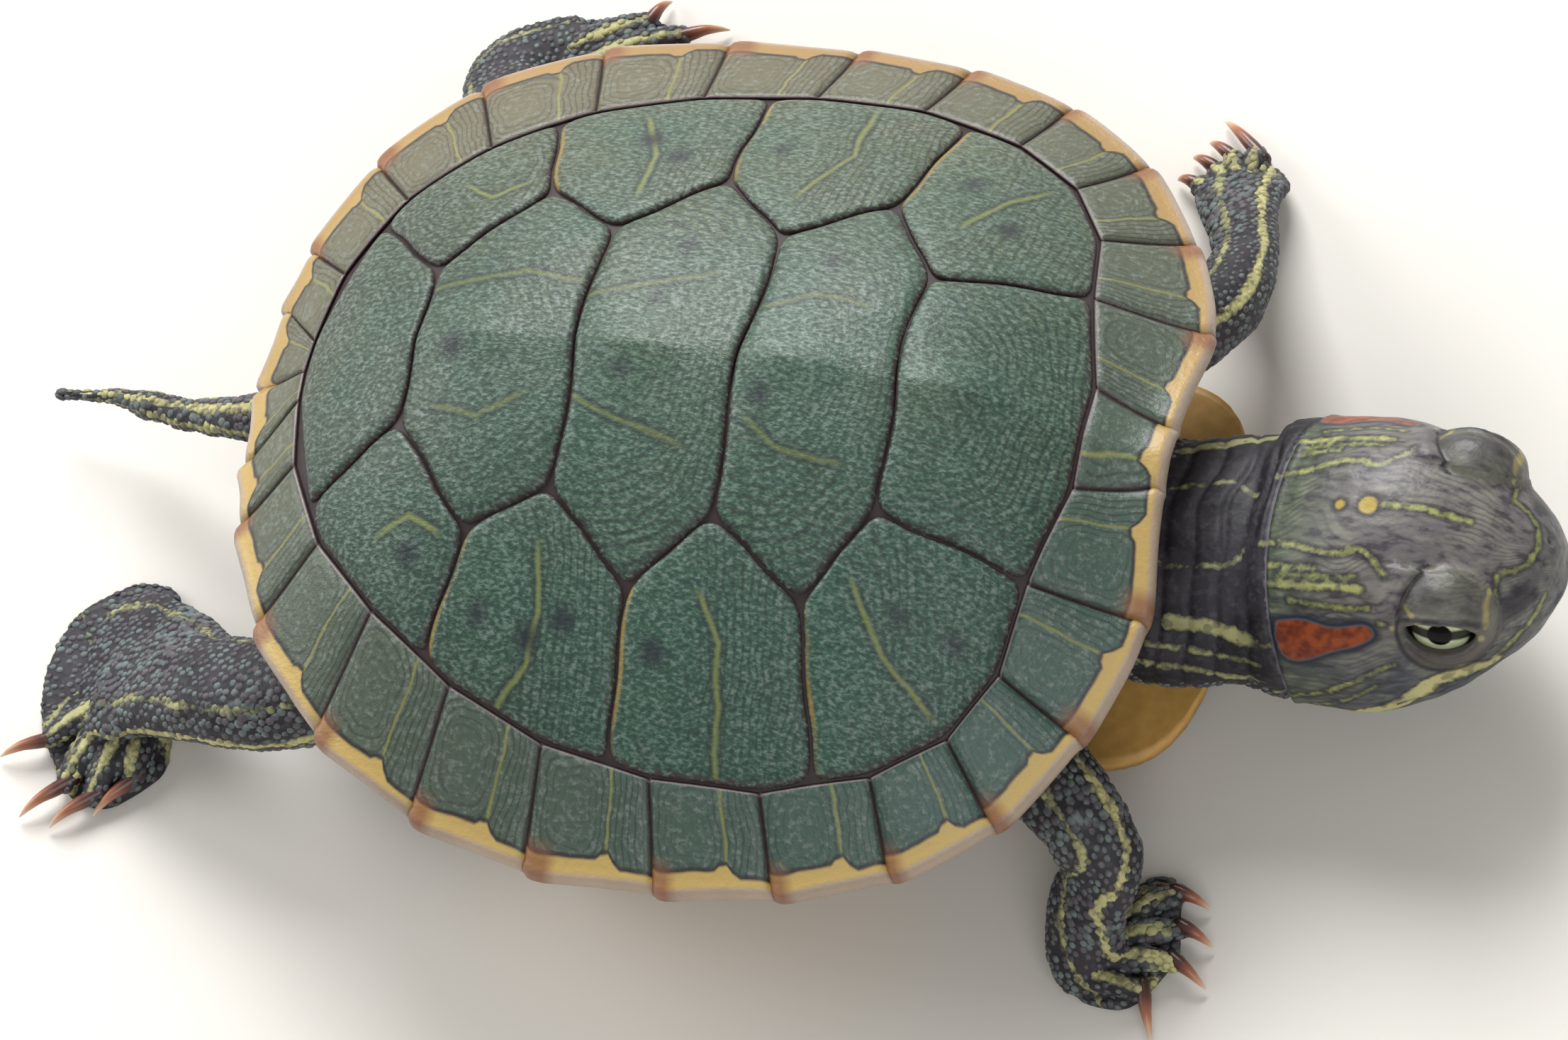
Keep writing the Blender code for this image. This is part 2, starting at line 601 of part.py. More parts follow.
def main():
    for old in list(bpy.data.objects):
        bpy.data.objects.remove(old)
    turtle = bpy.data.collections.new("slider_turtle")
    cutters = bpy.data.collections.new("cutters")
    for group in (turtle, cutters):
        bpy.context.scene.collection.children.link(group)

    make_carapace(turtle)
    make_plastron(turtle)
    paint(make_trunk(turtle, "trunk", 0.0), SKIN_BROWN, 0.6)
    pocket = make_trunk(cutters, "trunk_pocket", GAP)
    for name, path, sides in (("neck", NECK, 16), ("tail", TAIL, 10)):
        piece = add_object(name, tube(name, smooth_path(path, 2), sides), turtle)
        combine(piece, pocket, "DIFFERENCE")
        paint(piece, SKIN_BROWN, 0.55)
    make_head(turtle, cutters)
    for name, leg in LEGS.items():
        make_leg(turtle, cutters, name, leg, pocket)
    for cutter in cutters.objects:
        cutter.hide_render = True
        cutter.display_type = "WIRE"

    # The origin goes under the middle of the whole animal's box.
    bpy.context.view_layer.update()
    corners = [vertex.co for piece in turtle.objects for vertex in piece.data.vertices]
    middle = bpy.data.objects.new("turtle_middle", None)
    turtle.objects.link(middle)
    middle.location = (-(min(c.x for c in corners) + max(c.x for c in corners)) / 2,
                       -(min(c.y for c in corners) + max(c.y for c in corners)) / 2, 0)
    for piece in [*turtle.objects, *cutters.objects]:
        if piece is not middle:
            piece.parent = middle


main()
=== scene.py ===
import math

import bpy
import numpy as np
from mathutils import Matrix, Vector


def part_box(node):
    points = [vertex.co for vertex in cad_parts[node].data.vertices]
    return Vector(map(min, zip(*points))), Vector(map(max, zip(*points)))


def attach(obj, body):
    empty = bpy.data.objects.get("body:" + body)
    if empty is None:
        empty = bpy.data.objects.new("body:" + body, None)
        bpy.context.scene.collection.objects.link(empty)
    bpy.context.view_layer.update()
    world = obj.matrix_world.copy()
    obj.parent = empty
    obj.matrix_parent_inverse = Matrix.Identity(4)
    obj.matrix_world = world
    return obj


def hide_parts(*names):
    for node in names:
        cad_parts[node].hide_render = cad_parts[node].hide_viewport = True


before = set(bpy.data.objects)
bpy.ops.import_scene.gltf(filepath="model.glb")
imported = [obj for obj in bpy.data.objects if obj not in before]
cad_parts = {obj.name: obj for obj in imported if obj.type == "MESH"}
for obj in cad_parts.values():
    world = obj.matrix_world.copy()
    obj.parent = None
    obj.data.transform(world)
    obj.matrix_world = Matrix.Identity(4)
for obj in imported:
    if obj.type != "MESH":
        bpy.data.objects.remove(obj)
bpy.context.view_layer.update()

# Shell core --------------------------------------------------------------------------------------
# The bony shield under the horn plates, a dome that closes the shell. It shows as the dark floor of
# the seams between plates and, from below, as the shell's inner face. All sizes are millimetres,
# measured from the middle of the shell: x forward, y to the left, z up from the ground.
MM = 0.001
EYE_PLACE = (28.3, -2.9, 8.0)  # the right eyeball's middle, which ties the sizes to the frame
eye_low, eye_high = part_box("eye_right")
SHELL_MIDDLE = (eye_low + eye_high) / 2 - Vector(EYE_PLACE) * MM
SHELL_LENGTH, SHELL_WIDTH, SHELL_TOP = 36.0, 35.3, 17.3
RIM_FRONT, RIM_SIDE, RIM_REAR = 12.4, 7.9, 10.4
HORN = 0.3  # thickness of the horn over the bone


def linear(colour):
    """An sRGB hex colour as the linear numbers that shaders use."""
    parts = [int(colour[i:i + 2], 16) / 255 for i in (1, 3, 5)]
    return tuple(c / 12.92 if c <= 0.04045 else ((c + 0.055) / 1.055) ** 2.4 for c in parts) + (1.0,)


def node(tree, kind, *values, **settings):
    """Adds a node with its settings. Inputs are given by order, or by name in a dictionary, and each is a
    number, a hex colour, a socket, or a node whose first output is meant."""
    made = tree.nodes.new(kind)
    for name, value in settings.items():
        setattr(made, name, value)
    pairs = []
    for order, value in enumerate(values):
        pairs += value.items() if isinstance(value, dict) else [(order, value)]
    for key, value in pairs:
        source = value.outputs[0] if isinstance(value, bpy.types.Node) else value
        if isinstance(source, bpy.types.NodeSocket):
            tree.links.new(source, made.inputs[key])
        elif isinstance(source, str) and source.startswith("#"):
            made.inputs[key].default_value = linear(source)
        else:
            made.inputs[key].default_value = source
    return made


def bare_finish(name, roughness, specular=0.5, coat=0.0):
    """A new material with a plain shader on its output, and the place that patterns are laid by."""
    made = bpy.data.materials.new(name)
    made.use_nodes = True
    tree = made.node_tree
    tree.nodes.clear()
    shader = node(tree, "ShaderNodeBsdfPrincipled", {
        "Roughness": roughness, "Specular IOR Level": specular, "Coat Weight": coat})
    node(tree, "ShaderNodeOutputMaterial", shader)
    return made, tree, shader, node(tree, "ShaderNodeTexCoord").outputs["Object"]


def add_piece(name, points, faces, marks=None, smooth=True):
    """A mesh object from points in millimetres. marks are values kept at each point."""
    mesh = bpy.data.meshes.new(name)
    places = np.asarray(points, float) * MM + np.array(SHELL_MIDDLE)
    mesh.from_pydata(places.tolist(), [], [list(map(int, face)) for face in faces])
    for mark, values in (marks or {}).items():
        kept = mesh.attributes.new(mark, "FLOAT", "POINT")
        kept.data.foreach_set("value", np.asarray(values, np.float32))
    if smooth:
        mesh.shade_smooth()
    mesh.validate()
    piece = bpy.data.objects.new(name, mesh)
    bpy.context.scene.collection.objects.link(piece)
    return piece


def rim_radius(turn):
    """Distance of the rim from the shell's middle, seen from above."""
    ahead, aside = np.cos(turn), np.sin(turn)
    power = np.where(ahead > 0, 2.6, 2.25)
    reach = (np.abs(2 * ahead / SHELL_LENGTH) ** power
             + np.abs(2 * aside / SHELL_WIDTH) ** power) ** (-1 / power)
    off = (np.abs(np.degrees(np.arctan2(aside, ahead))) - 20) / 9
    return reach + 0.5 * np.exp(-off ** 2)


def rim_height(turn):
    """Height of the rim, high at the front, low at the sides and notched over the tail."""
    aside = np.minimum(1, np.abs(rim_radius(turn) * np.sin(turn)) * 2 / SHELL_WIDTH)
    front = RIM_FRONT - (RIM_FRONT - RIM_SIDE) * np.sin(np.pi / 2 * aside) ** 1.3
    rear = RIM_SIDE + (RIM_REAR - RIM_SIDE) * (1 - aside ** 6)
    rear = rear - 0.3 * np.exp(-(aside * SHELL_WIDTH / 8) ** 2)
    return np.where(np.cos(turn) > 0, front, rear)


def dome(x, y):
    """Height of the shell's outer face."""
    turn = np.arctan2(y, x)
    share = np.minimum(1, np.hypot(x, y) / rim_radius(turn))
    rim = rim_height(turn)
    power = 1.75 + 1.2 * np.abs(np.cos(turn)) ** 4
    flare = 12 * np.maximum(0, np.cos(turn)) ** 8
    return rim + (SHELL_TOP - rim) * (1 - share ** power) - flare * share ** 6 * (1 - share)


def net(rows, columns, closed=False, caps=False):
    """Faces over a grid of points, row by row. closed joins the last column to the first, and caps
    closes the first and last rows."""
    faces = []
    for i in range(rows - 1):
        for j in range(columns if closed else columns - 1):
            k = (j + 1) % columns
            faces.append((i * columns + j, i * columns + k, (i + 1) * columns + k, (i + 1) * columns + j))
    if caps:
        faces += [tuple(range(columns))[::-1], tuple((rows - 1) * columns + k for k in range(columns))]
    return faces


def turned_over(faces):
    """The same faces looking the other way."""
    return [tuple(reversed(face)) for face in faces]


turns = np.arange(156) * math.tau / 156
RINGS = (0.02, 0.15, 0.3, 0.45, 0.6, 0.75, 0.88, 0.965)  # the core's rings, as shares of the rim's radius
points = []
for share, inside in [(share, False) for share in RINGS] + [(share, True) for share in reversed(RINGS)]:
    reach = share * rim_radius(turns)
    x, y = reach * np.cos(turns), reach * np.sin(turns)
    depth = 1.25 - 0.45 * share ** 8 if inside else HORN
    points.append(np.column_stack((x, y, dome(x, y) - depth)))
faces = net(2 * len(RINGS), len(turns), closed=True, caps=True)
core = add_piece("shell_core", np.vstack(points), turned_over(faces))
# Horn at the foot of a seam: dark, dull and grained 0.15 mm wide, so a seam reads as a fine dark line.
seam_horn, tree, shader, place = bare_finish("seam_horn", 0.6)
grain = node(tree, "ShaderNodeTexNoise", {"Vector": place, "Scale": 2500.0, "Detail": 4.0})
colour = node(tree, "ShaderNodeMixRGB", grain, "#150E12", "#3E2D2D")
tree.links.new(colour.outputs[0], shader.inputs["Base Color"])
core.data.materials.append(seam_horn)
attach(core, "root")

# Back plates -------------------------------------------------------------------------------------
# Five horn plates along the keel and four along each side, each grown separately on the bone, with
# a sunk seam between neighbours. Young horn is dull and grained, so it has only a soft sheen.
SEAM = 0.05  # half the width of the gap between plates
FAR = 9.0  # further from a mark than any mark reaches
GROOVE, GROOVE_SLOPE, SWELL = 0.22, 0.12, 0.08  # a plate's edge sinks so far and its middle swells
PLATE_SIDE, PLATE_DEPTH = 0.6, 0.9  # how far down a plate's side and its underside lie
CORNERS = {  # where plates meet, in plan, on the left half and on the middle line
    "n": (14.9, 2.1), "a": (13.9, 5.9), "b": (8.5, 4.8), "c": (6.1, 8.2), "d": (6.9, 13.68),
    "e": (2.5, 5.8), "f": (-0.4, 8.5), "g": (-0.8, 13.93), "h": (-3.8, 5.4), "i": (-6.9, 7.1),
    "j": (-8.2, 11.26), "k": (-10.4, 3.2), "l": (-13.9, 5.96), "m": (-15.6, 1.2),
}
# Where the seams between rim plates end, in plan, from the front to the rear.
INNER = {0: (14.9, 2.1), 1: (13.9, 5.9), 2: (13.2, 9.0), 3: (11.6, 11.4), 4: (9.0, 13.1),
         5: (5.0, 14.2), 6: (0.8, 14.2), 7: (-3.4, 13.5), 8: (-7.1, 12.0), 9: (-10.5, 9.7),
         10: (-13.2, 7.2), 11: (-15.0, 4.0)}
KEEL_HEIGHT = 0.45  # how far its knobs stand out of the dome
BARS = {  # the pale line on each plate, from place to place in plan
    "keel_plate_2": (((3.3, 2.3), (4.8, 2.9), (6.4, 2.9)), ((3.6, -2.6), (4.5, -3.3), (6.8, -3.5))),
    "keel_plate_3": (((-4.7, 1.5), (-1.8, 2.7), (0.5, 3.4)), ((-4.0, -1.9), (-2.0, -2.7), (0.7, -3.5))),
    "keel_plate_4": (((-9.9, 2.1), (-6.5, 2.9), (-4.4, 2.6)), ((-8.7, -2.8), (-7.0, -3.2), (-5.6, -2.3))),
    "side_plate_1_left": (((10.8, 10.4), (10.0, 9.6), (9.0, 7.9)),),
    "side_plate_2_left": (((3.5, 13.2), (3.7, 10.6), (2.6, 8.2)),),
    "side_plate_3_left": (((-4.7, 11.5), (-3.5, 9.4), (-3.5, 7.5)),),
    "side_plate_4_left": (((-10.2, 7.2), (-9.2, 6.6), (-8.2, 7.2)),),
    "side_plate_1_right": (((10.9, -10.8), (9.3, -9.5), (8.1, -7.6)),),
    "side_plate_2_right": (((3.4, -14.1), (3.3, -10.0), (2.5, -8.8)),),
    "side_plate_3_right": (((-5.1, -12.6), (-4.1, -11.3), (-3.7, -9.7), (-3.8, -7.8)),),
    "side_plate_4_right": (((-10.2, -7.2), (-9.2, -6.6), (-8.2, -7.2)),),
}
BLOTCHES = (  # small dark clouds: forward, out, and the side
    (11.8, 8.6, -1), (9.8, 8.2, -1), (0.8, 10.5, -1), (-2.8, 9.8, -1), (-4.1, 10.5, -1), (-6.1, 9.9, -1),
    (-9.2, 8.0, -1), (1.0, 10.5, 1), (-4.1, 10.3, 1), (-2.7, 9.5, 1), (10.4, 8.0, 1), (8.4, 10.1, 1),
    (-1.7, 1.1, -1), (-1.2, 2.2, 1), (-0.7, 4.7, 1), (-8.6, 0.5, -1), (3.7, 1.4, -1), (5.0, 4.7, 1),
)


def seam_line(a, b, spacing=0.3):
    """The seam between two places, waved a little the same way for the plates on its two sides."""
    if (round(a[0], 3), round(a[1], 3)) > (round(b[0], 3), round(b[1], 3)):
        return seam_line(b, a, spacing)[::-1]
    a, b = np.array(a, float), np.array(b, float)
    length = np.linalg.norm(b - a)
    t = np.linspace(0, 1, max(3, int(length / spacing)))
    square = np.array((a[1] - b[1], b[0] - a[0])) / length
    phase = 3.1 * a[0] + 1.7 * b[1]
    outer = all(math.hypot(*end) > 0.72 * rim_radius(math.atan2(end[1], end[0])) for end in (a, b))
    wave = (0.0 if outer else 0.025) * length * np.sin(np.pi * t)  # seams along the rim are straight
    wave *= np.sin(phase) + np.sin(2 * np.pi * t + phase)
    return a + np.outer(t, b - a) + np.outer(wave, square)


def winding(line):
    """1 for a closed outline that runs to the left, and -1 for one that runs to the right."""
    ahead = np.roll(line, -1, 0)
    return np.sign(np.sum(line[:, 0] * ahead[:, 1] - ahead[:, 0] * line[:, 1]))


def outline_through(corners):
    """A closed outline along the seams between corners, drawn in by half a seam."""
    line = np.vstack([seam_line(a, b)[:-1] for a, b in zip(corners, corners[1:] + corners[:1])])
    for _ in range(3):
        line = (np.roll(line, 1, 0) + 2 * line + np.roll(line, -1, 0)) / 4
    along = np.roll(line, -1, 0) - np.roll(line, 1, 0)
    square = np.column_stack((along[:, 1], -along[:, 0])) / np.linalg.norm(along, axis=1)[:, None]
    return line - square * SEAM * winding(line)


def from_line(places, line, reach=FAR):
    """Distance of each place from a line of points, or FAR where that is out of reach."""
    nearest = np.full(len(places), FAR)
    near = np.all((places > line.min(0) - reach) & (places < line.max(0) + reach), 1)
    chosen = places[near]
    best = np.full(len(chosen), FAR)
    for a, b in zip(line, line[1:]):
        step = b - a
        t = np.clip(((chosen - a) @ step) / max(step @ step, 1e-12), 0, 1)
        best = np.minimum(best, np.linalg.norm(chosen - a - np.outer(t, step), axis=1))
    nearest[near] = best
    return nearest


def stroke(places, route):
    """How far each place lies to the side of a route, and how far past its ends."""
    nearest, aside, past = np.full(len(places), np.inf), np.zeros(len(places)), np.zeros(len(places))
    route = np.array(route, float)
    for a, b in zip(route, route[1:]):
        step = (b - a) / np.linalg.norm(b - a)
        off = places - a
        along = off @ step
        over = np.maximum(0, np.maximum(-along, along - np.linalg.norm(b - a)))
        side = off[:, 1] * step[0] - off[:, 0] * step[1]
        better = np.hypot(side, over) < nearest
        nearest = np.where(better, np.hypot(side, over), nearest)
        aside, past = np.where(better, side, aside), np.where(better, over, past)
    return aside, past


def plate(corners, focus, stretch, shape, rear=(), bars=()):
    """One horn plate: rings of points from its middle out to its outline, and a closed underside.

    focus is where the plate began to grow and stretch how long its rings of growth are. shape gives
    places in space from places in the plan, and a way out of the surface."""
    line = outline_through([np.array(c, float) for c in corners])
    middle = line.mean(0)
    shares = np.array((0.03, *np.linspace(0.12, 0.84, 13), 0.88, 0.91, 0.935, 0.955, 0.97, 0.985, 1.0))
    plan = np.vstack([middle + (line - middle) * share for share in shares])
    edge = from_line(plan, np.vstack((line, line[:1])))
    drop = -GROOVE * np.exp(-edge / GROOVE_SLOPE) + SWELL * (1 - np.exp(-edge / 1.0))
    count = len(line)
    base = middle + (line - middle) * shares[0]
    where, out = shape(np.vstack((plan, base)))
    top = where[:-count] + out[:-count] * drop[:, None]
    skirt = where[-2 * count:-count] - out[-2 * count:-count] * PLATE_SIDE
    floor = where[-count:] - out[-count:] * PLATE_DEPTH
    faces = net(len(shares) + 2, count, closed=True, caps=True)
    full = np.vstack((plan, line, base))
    off = (full - np.array(focus)) / np.array(stretch)
    spots = np.array([(x, side * y) for x, y, side in BLOTCHES])
    marks = {
        "edge": np.concatenate((edge, np.zeros(2 * count))),
        "ring": (np.abs(off) ** 2.4).sum(1) ** (1 / 2.4),
        "rearline": from_line(full, rear) if len(rear) else np.full(len(full), FAR),
        "blot": np.min(np.linalg.norm(full[:, None] - spots[None], axis=2), axis=1),
        "bar": np.full(len(full), FAR),
        "past": np.full(len(full), FAR),
    }
    for bar in bars:
        near = full[:, 1] * bar[0][1] > 0
        for key, values in zip(("bar", "past"), stroke(full, bar)):
            marks[key] = np.where(near, values, marks[key])
    return np.vstack((top, skirt, floor)), turned_over(faces) if winding(line) > 0 else faces, marks


def on_dome(plan):
    """Places on the shell's back, with the keel that runs along it in knobs."""
    x, y = plan[:, 0], plan[:, 1]
    knob = 0.65 + 0.35 * np.cos((x + 2.0) * math.tau / 6.3)
    keel = KEEL_HEIGHT * knob * np.exp(-np.abs(y / 1.1) ** 1.5) * np.clip((16 - np.abs(x)) / 5, 0, 1)
    return np.column_stack((x, y, dome(x, y) + keel)), np.tile((0.0, 0.0, 1.0), (len(x), 1))


def mirror(corner):
    """The same corner on the other side."""
    return corner[0], -corner[1]


back_plates = {  # corners in order round the plate, where it began to grow, how far its rings are drawn out
    "keel_plate_1": (["n", "a", "b", "-b", "-a", "-n"], (9.6, 0.0), (1.0, 1.3)),
    "keel_plate_2": (["b", "c", "e", "-e", "-c", "-b"], (3.9, 0.0), (1.0, 1.6)),
    "keel_plate_3": (["e", "f", "h", "-h", "-f", "-e"], (-1.9, 0.0), (1.0, 1.6)),
    "keel_plate_4": (["h", "i", "k", "-k", "-i", "-h"], (-8.5, 0.0), (1.1, 1.3)),
    "keel_plate_5": (["k", "l", "m", "-m", "-l", "-k"], (-13.6, 0.0), (1.0, 1.5)),
    "side_plate_1": (["a", 2, 3, 4, "d", "c", "b"], (7.6, 10.0), (1.0, 2.4)),
    "side_plate_2": (["c", "d", 5, 6, "g", "f", "e"], (0.9, 10.2), (1.0, 2.6)),
    "side_plate_3": (["f", "g", 7, 8, "j", "i", "h"], (-5.9, 9.4), (1.0, 2.2)),
    "side_plate_4": (["i", "j", 9, 10, "l", "k"], (-9.9, 7.8), (1.0, 1.4)),
}


def corner_place(key):
    """A corner by its letter, its letter with a minus on the right side, or its number along the rim."""
    if isinstance(key, int):
        return INNER[key]
    return mirror(CORNERS[key[1:]]) if key.startswith("-") else CORNERS[key]


REAR_SEAMS = {"side_plate_1": "cd", "side_plate_2": "fg", "side_plate_3": "ij"}  # edged in yellow


def coat(tree, colour, paint, source, none, full, strength=1.0, *factors):
    """A coat of paint on a colour. It begins to show where the source is none and has its strength where
    the source is full, times any factors."""
    share = node(tree, "ShaderNodeMapRange", source, none, full, 0.0, strength)
    for factor in factors:
        share = node(tree, "ShaderNodeMath", share, factor, operation="MULTIPLY")
    return node(tree, "ShaderNodeMixRGB", share, colour, paint)


def apart(tree, value, middle=0.0):
    """How far a value lies from a middle one."""
    off = node(tree, "ShaderNodeMath", value, middle, operation="SUBTRACT")
    return node(tree, "ShaderNodeMath", off, operation="ABSOLUTE")


def growth_rings(tree, ring, waver, sway, spacing):
    """A wave over rings of growth, so many millimetres apart, that sway with the waver."""
    bent = node(tree, "ShaderNodeMath", waver, sway, ring, operation="MULTIPLY_ADD")
    turn = node(tree, "ShaderNodeMath", bent, math.tau / spacing, operation="MULTIPLY")
    return node(tree, "ShaderNodeMath", turn, operation="SINE")


def warm_to(tree, place, side_end, rear_start, rear_warmth):
    """How much warmer the horn is to the left, and to the left and the rear together."""
    across = node(tree, "ShaderNodeSeparateXYZ", place)
    side = node(tree, "ShaderNodeMapRange", across.outputs["Y"], -0.012, side_end, 0.0, 1.0)
    rearward = node(tree, "ShaderNodeMapRange", across.outputs["X"], rear_start, -0.02, 0.0, rear_warmth)
    return side, node(tree, "ShaderNodeMath", side, rearward, operation="ADD")


def join_finish(tree, shader, colour, relief, strength, depth, rough=None):
    """Puts a colour, a relief so many millimetres deep, and any uneven roughness on a shader."""
    bump = node(tree, "ShaderNodeBump", {"Height": relief, "Strength": strength, "Distance": depth * MM})
    tree.links.new(bump.outputs[0], shader.inputs["Normal"])
    tree.links.new(colour.outputs[0], shader.inputs["Base Color"])
    if rough:
        tree.links.new(rough.outputs[0], shader.inputs["Roughness"])


def shell_horn(name, bar_strength):
    """Young horn, grown in rings and never polished: green, grained and dull, with a soft broad sheen."""
    made, tree, shader, place = bare_finish(name, 0.46, 0.35)
    marks = {key: node(tree, "ShaderNodeAttribute", attribute_name=key).outputs["Fac"]
             for key in ("edge", "ring", "bar", "past", "blot", "rearline")}
    # Grain 0.1 mm wide, drawn out along the body, and clouds 4 mm and 2.5 mm wide.
    lie = node(tree, "ShaderNodeMapping", place, {"Rotation": (0, 0, 0.45), "Scale": (1.0, 1.8, 1.0)})
    grain = node(tree, "ShaderNodeTexNoise", {
        "Vector": lie, "Scale": 4400.0, "Detail": 2.0, "Roughness": 0.6})
    cloud = node(tree, "ShaderNodeTexNoise", {"Vector": place, "Scale": 260.0, "Detail": 3.0})
    waver = node(tree, "ShaderNodeTexNoise", {"Vector": place, "Scale": 420.0, "Detail": 2.0})
    _, warm = warm_to(tree, place, 0.016, 0.016, 0.35)
    warm = node(tree, "ShaderNodeMath", warm, cloud, operation="MULTIPLY")
    green = node(tree, "ShaderNodeMixRGB", warm, "#2B5243", "#645F44")
    ahead = node(tree, "ShaderNodeSeparateXYZ", place)
    green = coat(tree, green, "#2E3329", ahead, -0.004, -0.018, 0.4)
    green = coat(tree, green, "#74827D", grain, 0.48, 0.68, 0.7)
    green = coat(tree, green, "#252932", grain, 0.49, 0.32, 0.65)
    # Rings of growth 0.3 mm apart, wavering, and fading towards where the plate began.
    rings = growth_rings(tree, marks["ring"], waver, 0.9, 0.3)
    reach = node(tree, "ShaderNodeMapRange", marks["ring"], 0.8, 2.0, 0.15, 1.0)
    green = coat(tree, green, "#222A2C", rings, 0.1, 0.9, 0.8, reach, cloud)
    # A thin wavering yellow-green line with dark sides.
    line = node(tree, "ShaderNodeMath", waver, 0.5, marks["bar"], operation="MULTIPLY_ADD")
    line = apart(tree, line, 0.25)
    ends = node(tree, "ShaderNodeMapRange", marks["past"], 0.0, 0.6, 1.0, 0.0)
    green = coat(tree, green, "#23282A", line, 0.34, 0.2, 0.5, ends)
    green = coat(tree, green, "#88914C", line, 0.15, 0.03, bar_strength, ends)
    # Small dark clouds.
    smudge = node(tree, "ShaderNodeMath", waver, 0.9, marks["blot"], operation="MULTIPLY_ADD")
    green = coat(tree, green, "#20222C", smudge, 1.15, 0.55, 0.8)
    # The borders are brown, and orange to yellow along the plate's rear edge.
    patchy = node(tree, "ShaderNodeMath", grain, 0.5, marks["edge"], operation="MULTIPLY_ADD")
    green = coat(tree, green, "#403033", patchy, 0.38, 0.26, 0.85)
    fade = node(tree, "ShaderNodeMapRange", cloud, 0.4, 0.55, 0.2, 1.0)
    green = coat(tree, green, "#8F7638", apart(tree, marks["rearline"], 0.2), 0.14, 0.04, 0.7, fade)
    rough = node(tree, "ShaderNodeMapRange", grain, 0.3, 0.7, 0.52, 0.36)
    join_finish(tree, shader, green, grain, 0.5, 0.08, rough)
    return made


keel_horn = shell_horn("keel_horn", 0.28)
side_horn = shell_horn("side_horn", 0.5)
for name, (keys, focus, stretch) in back_plates.items():
    for word, sign in (("", 1),) if name.startswith("keel") else (("_left", 1), ("_right", -1)):
        corners = [(x, sign * y) for x, y in map(corner_place, keys)]
        rear = ()
        if name in REAR_SEAMS:
            rear = seam_line(*[(x, sign * y) for x, y in map(corner_place, REAR_SEAMS[name])])
        made = plate(corners, (focus[0], sign * focus[1]), stretch, on_dome, rear, BARS.get(name + word, ()))
        piece = add_piece(name + word, *made)
        piece.data.materials.append(keel_horn if name.startswith("keel") else side_horn)
        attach(piece, "root")
        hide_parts("carapace")

# Rim plates --------------------------------------------------------------------------------------
# Thirteen horn plates a side and one over the neck, rolled round the rim. Dark lines follow each
# like a fingerprint, a yellow bar runs out to a yellow rim, and the rear corner stands out, brown.
RIM_TURNS = (4.0, 18.5, 32.6, 45.6, 58.2, 71.8, 86.4, 102.9, 118.0, 133.0, 148.4, 161.8, 169.9, 180.0)
ROLL = 0.36  # radius of the rolled edge
LIP = 2.6  # how far a plate reaches in under the rim
RIM_GROOVE, RIM_SLOPE = 0.24, 0.15  # how deep the plates' edges sink, and over what width
BAR_AT, RINGS_AT = 0.34, 0.66  # where the bar and the rings' middle lie, as shares from the front seam
# Distance from the nearest seam, ring of growth, place ahead of the bar, in from the rim, and out from
# the inner seam.
RIM_MARKS = ("edge", "ring", "ahead", "rimward", "inward")


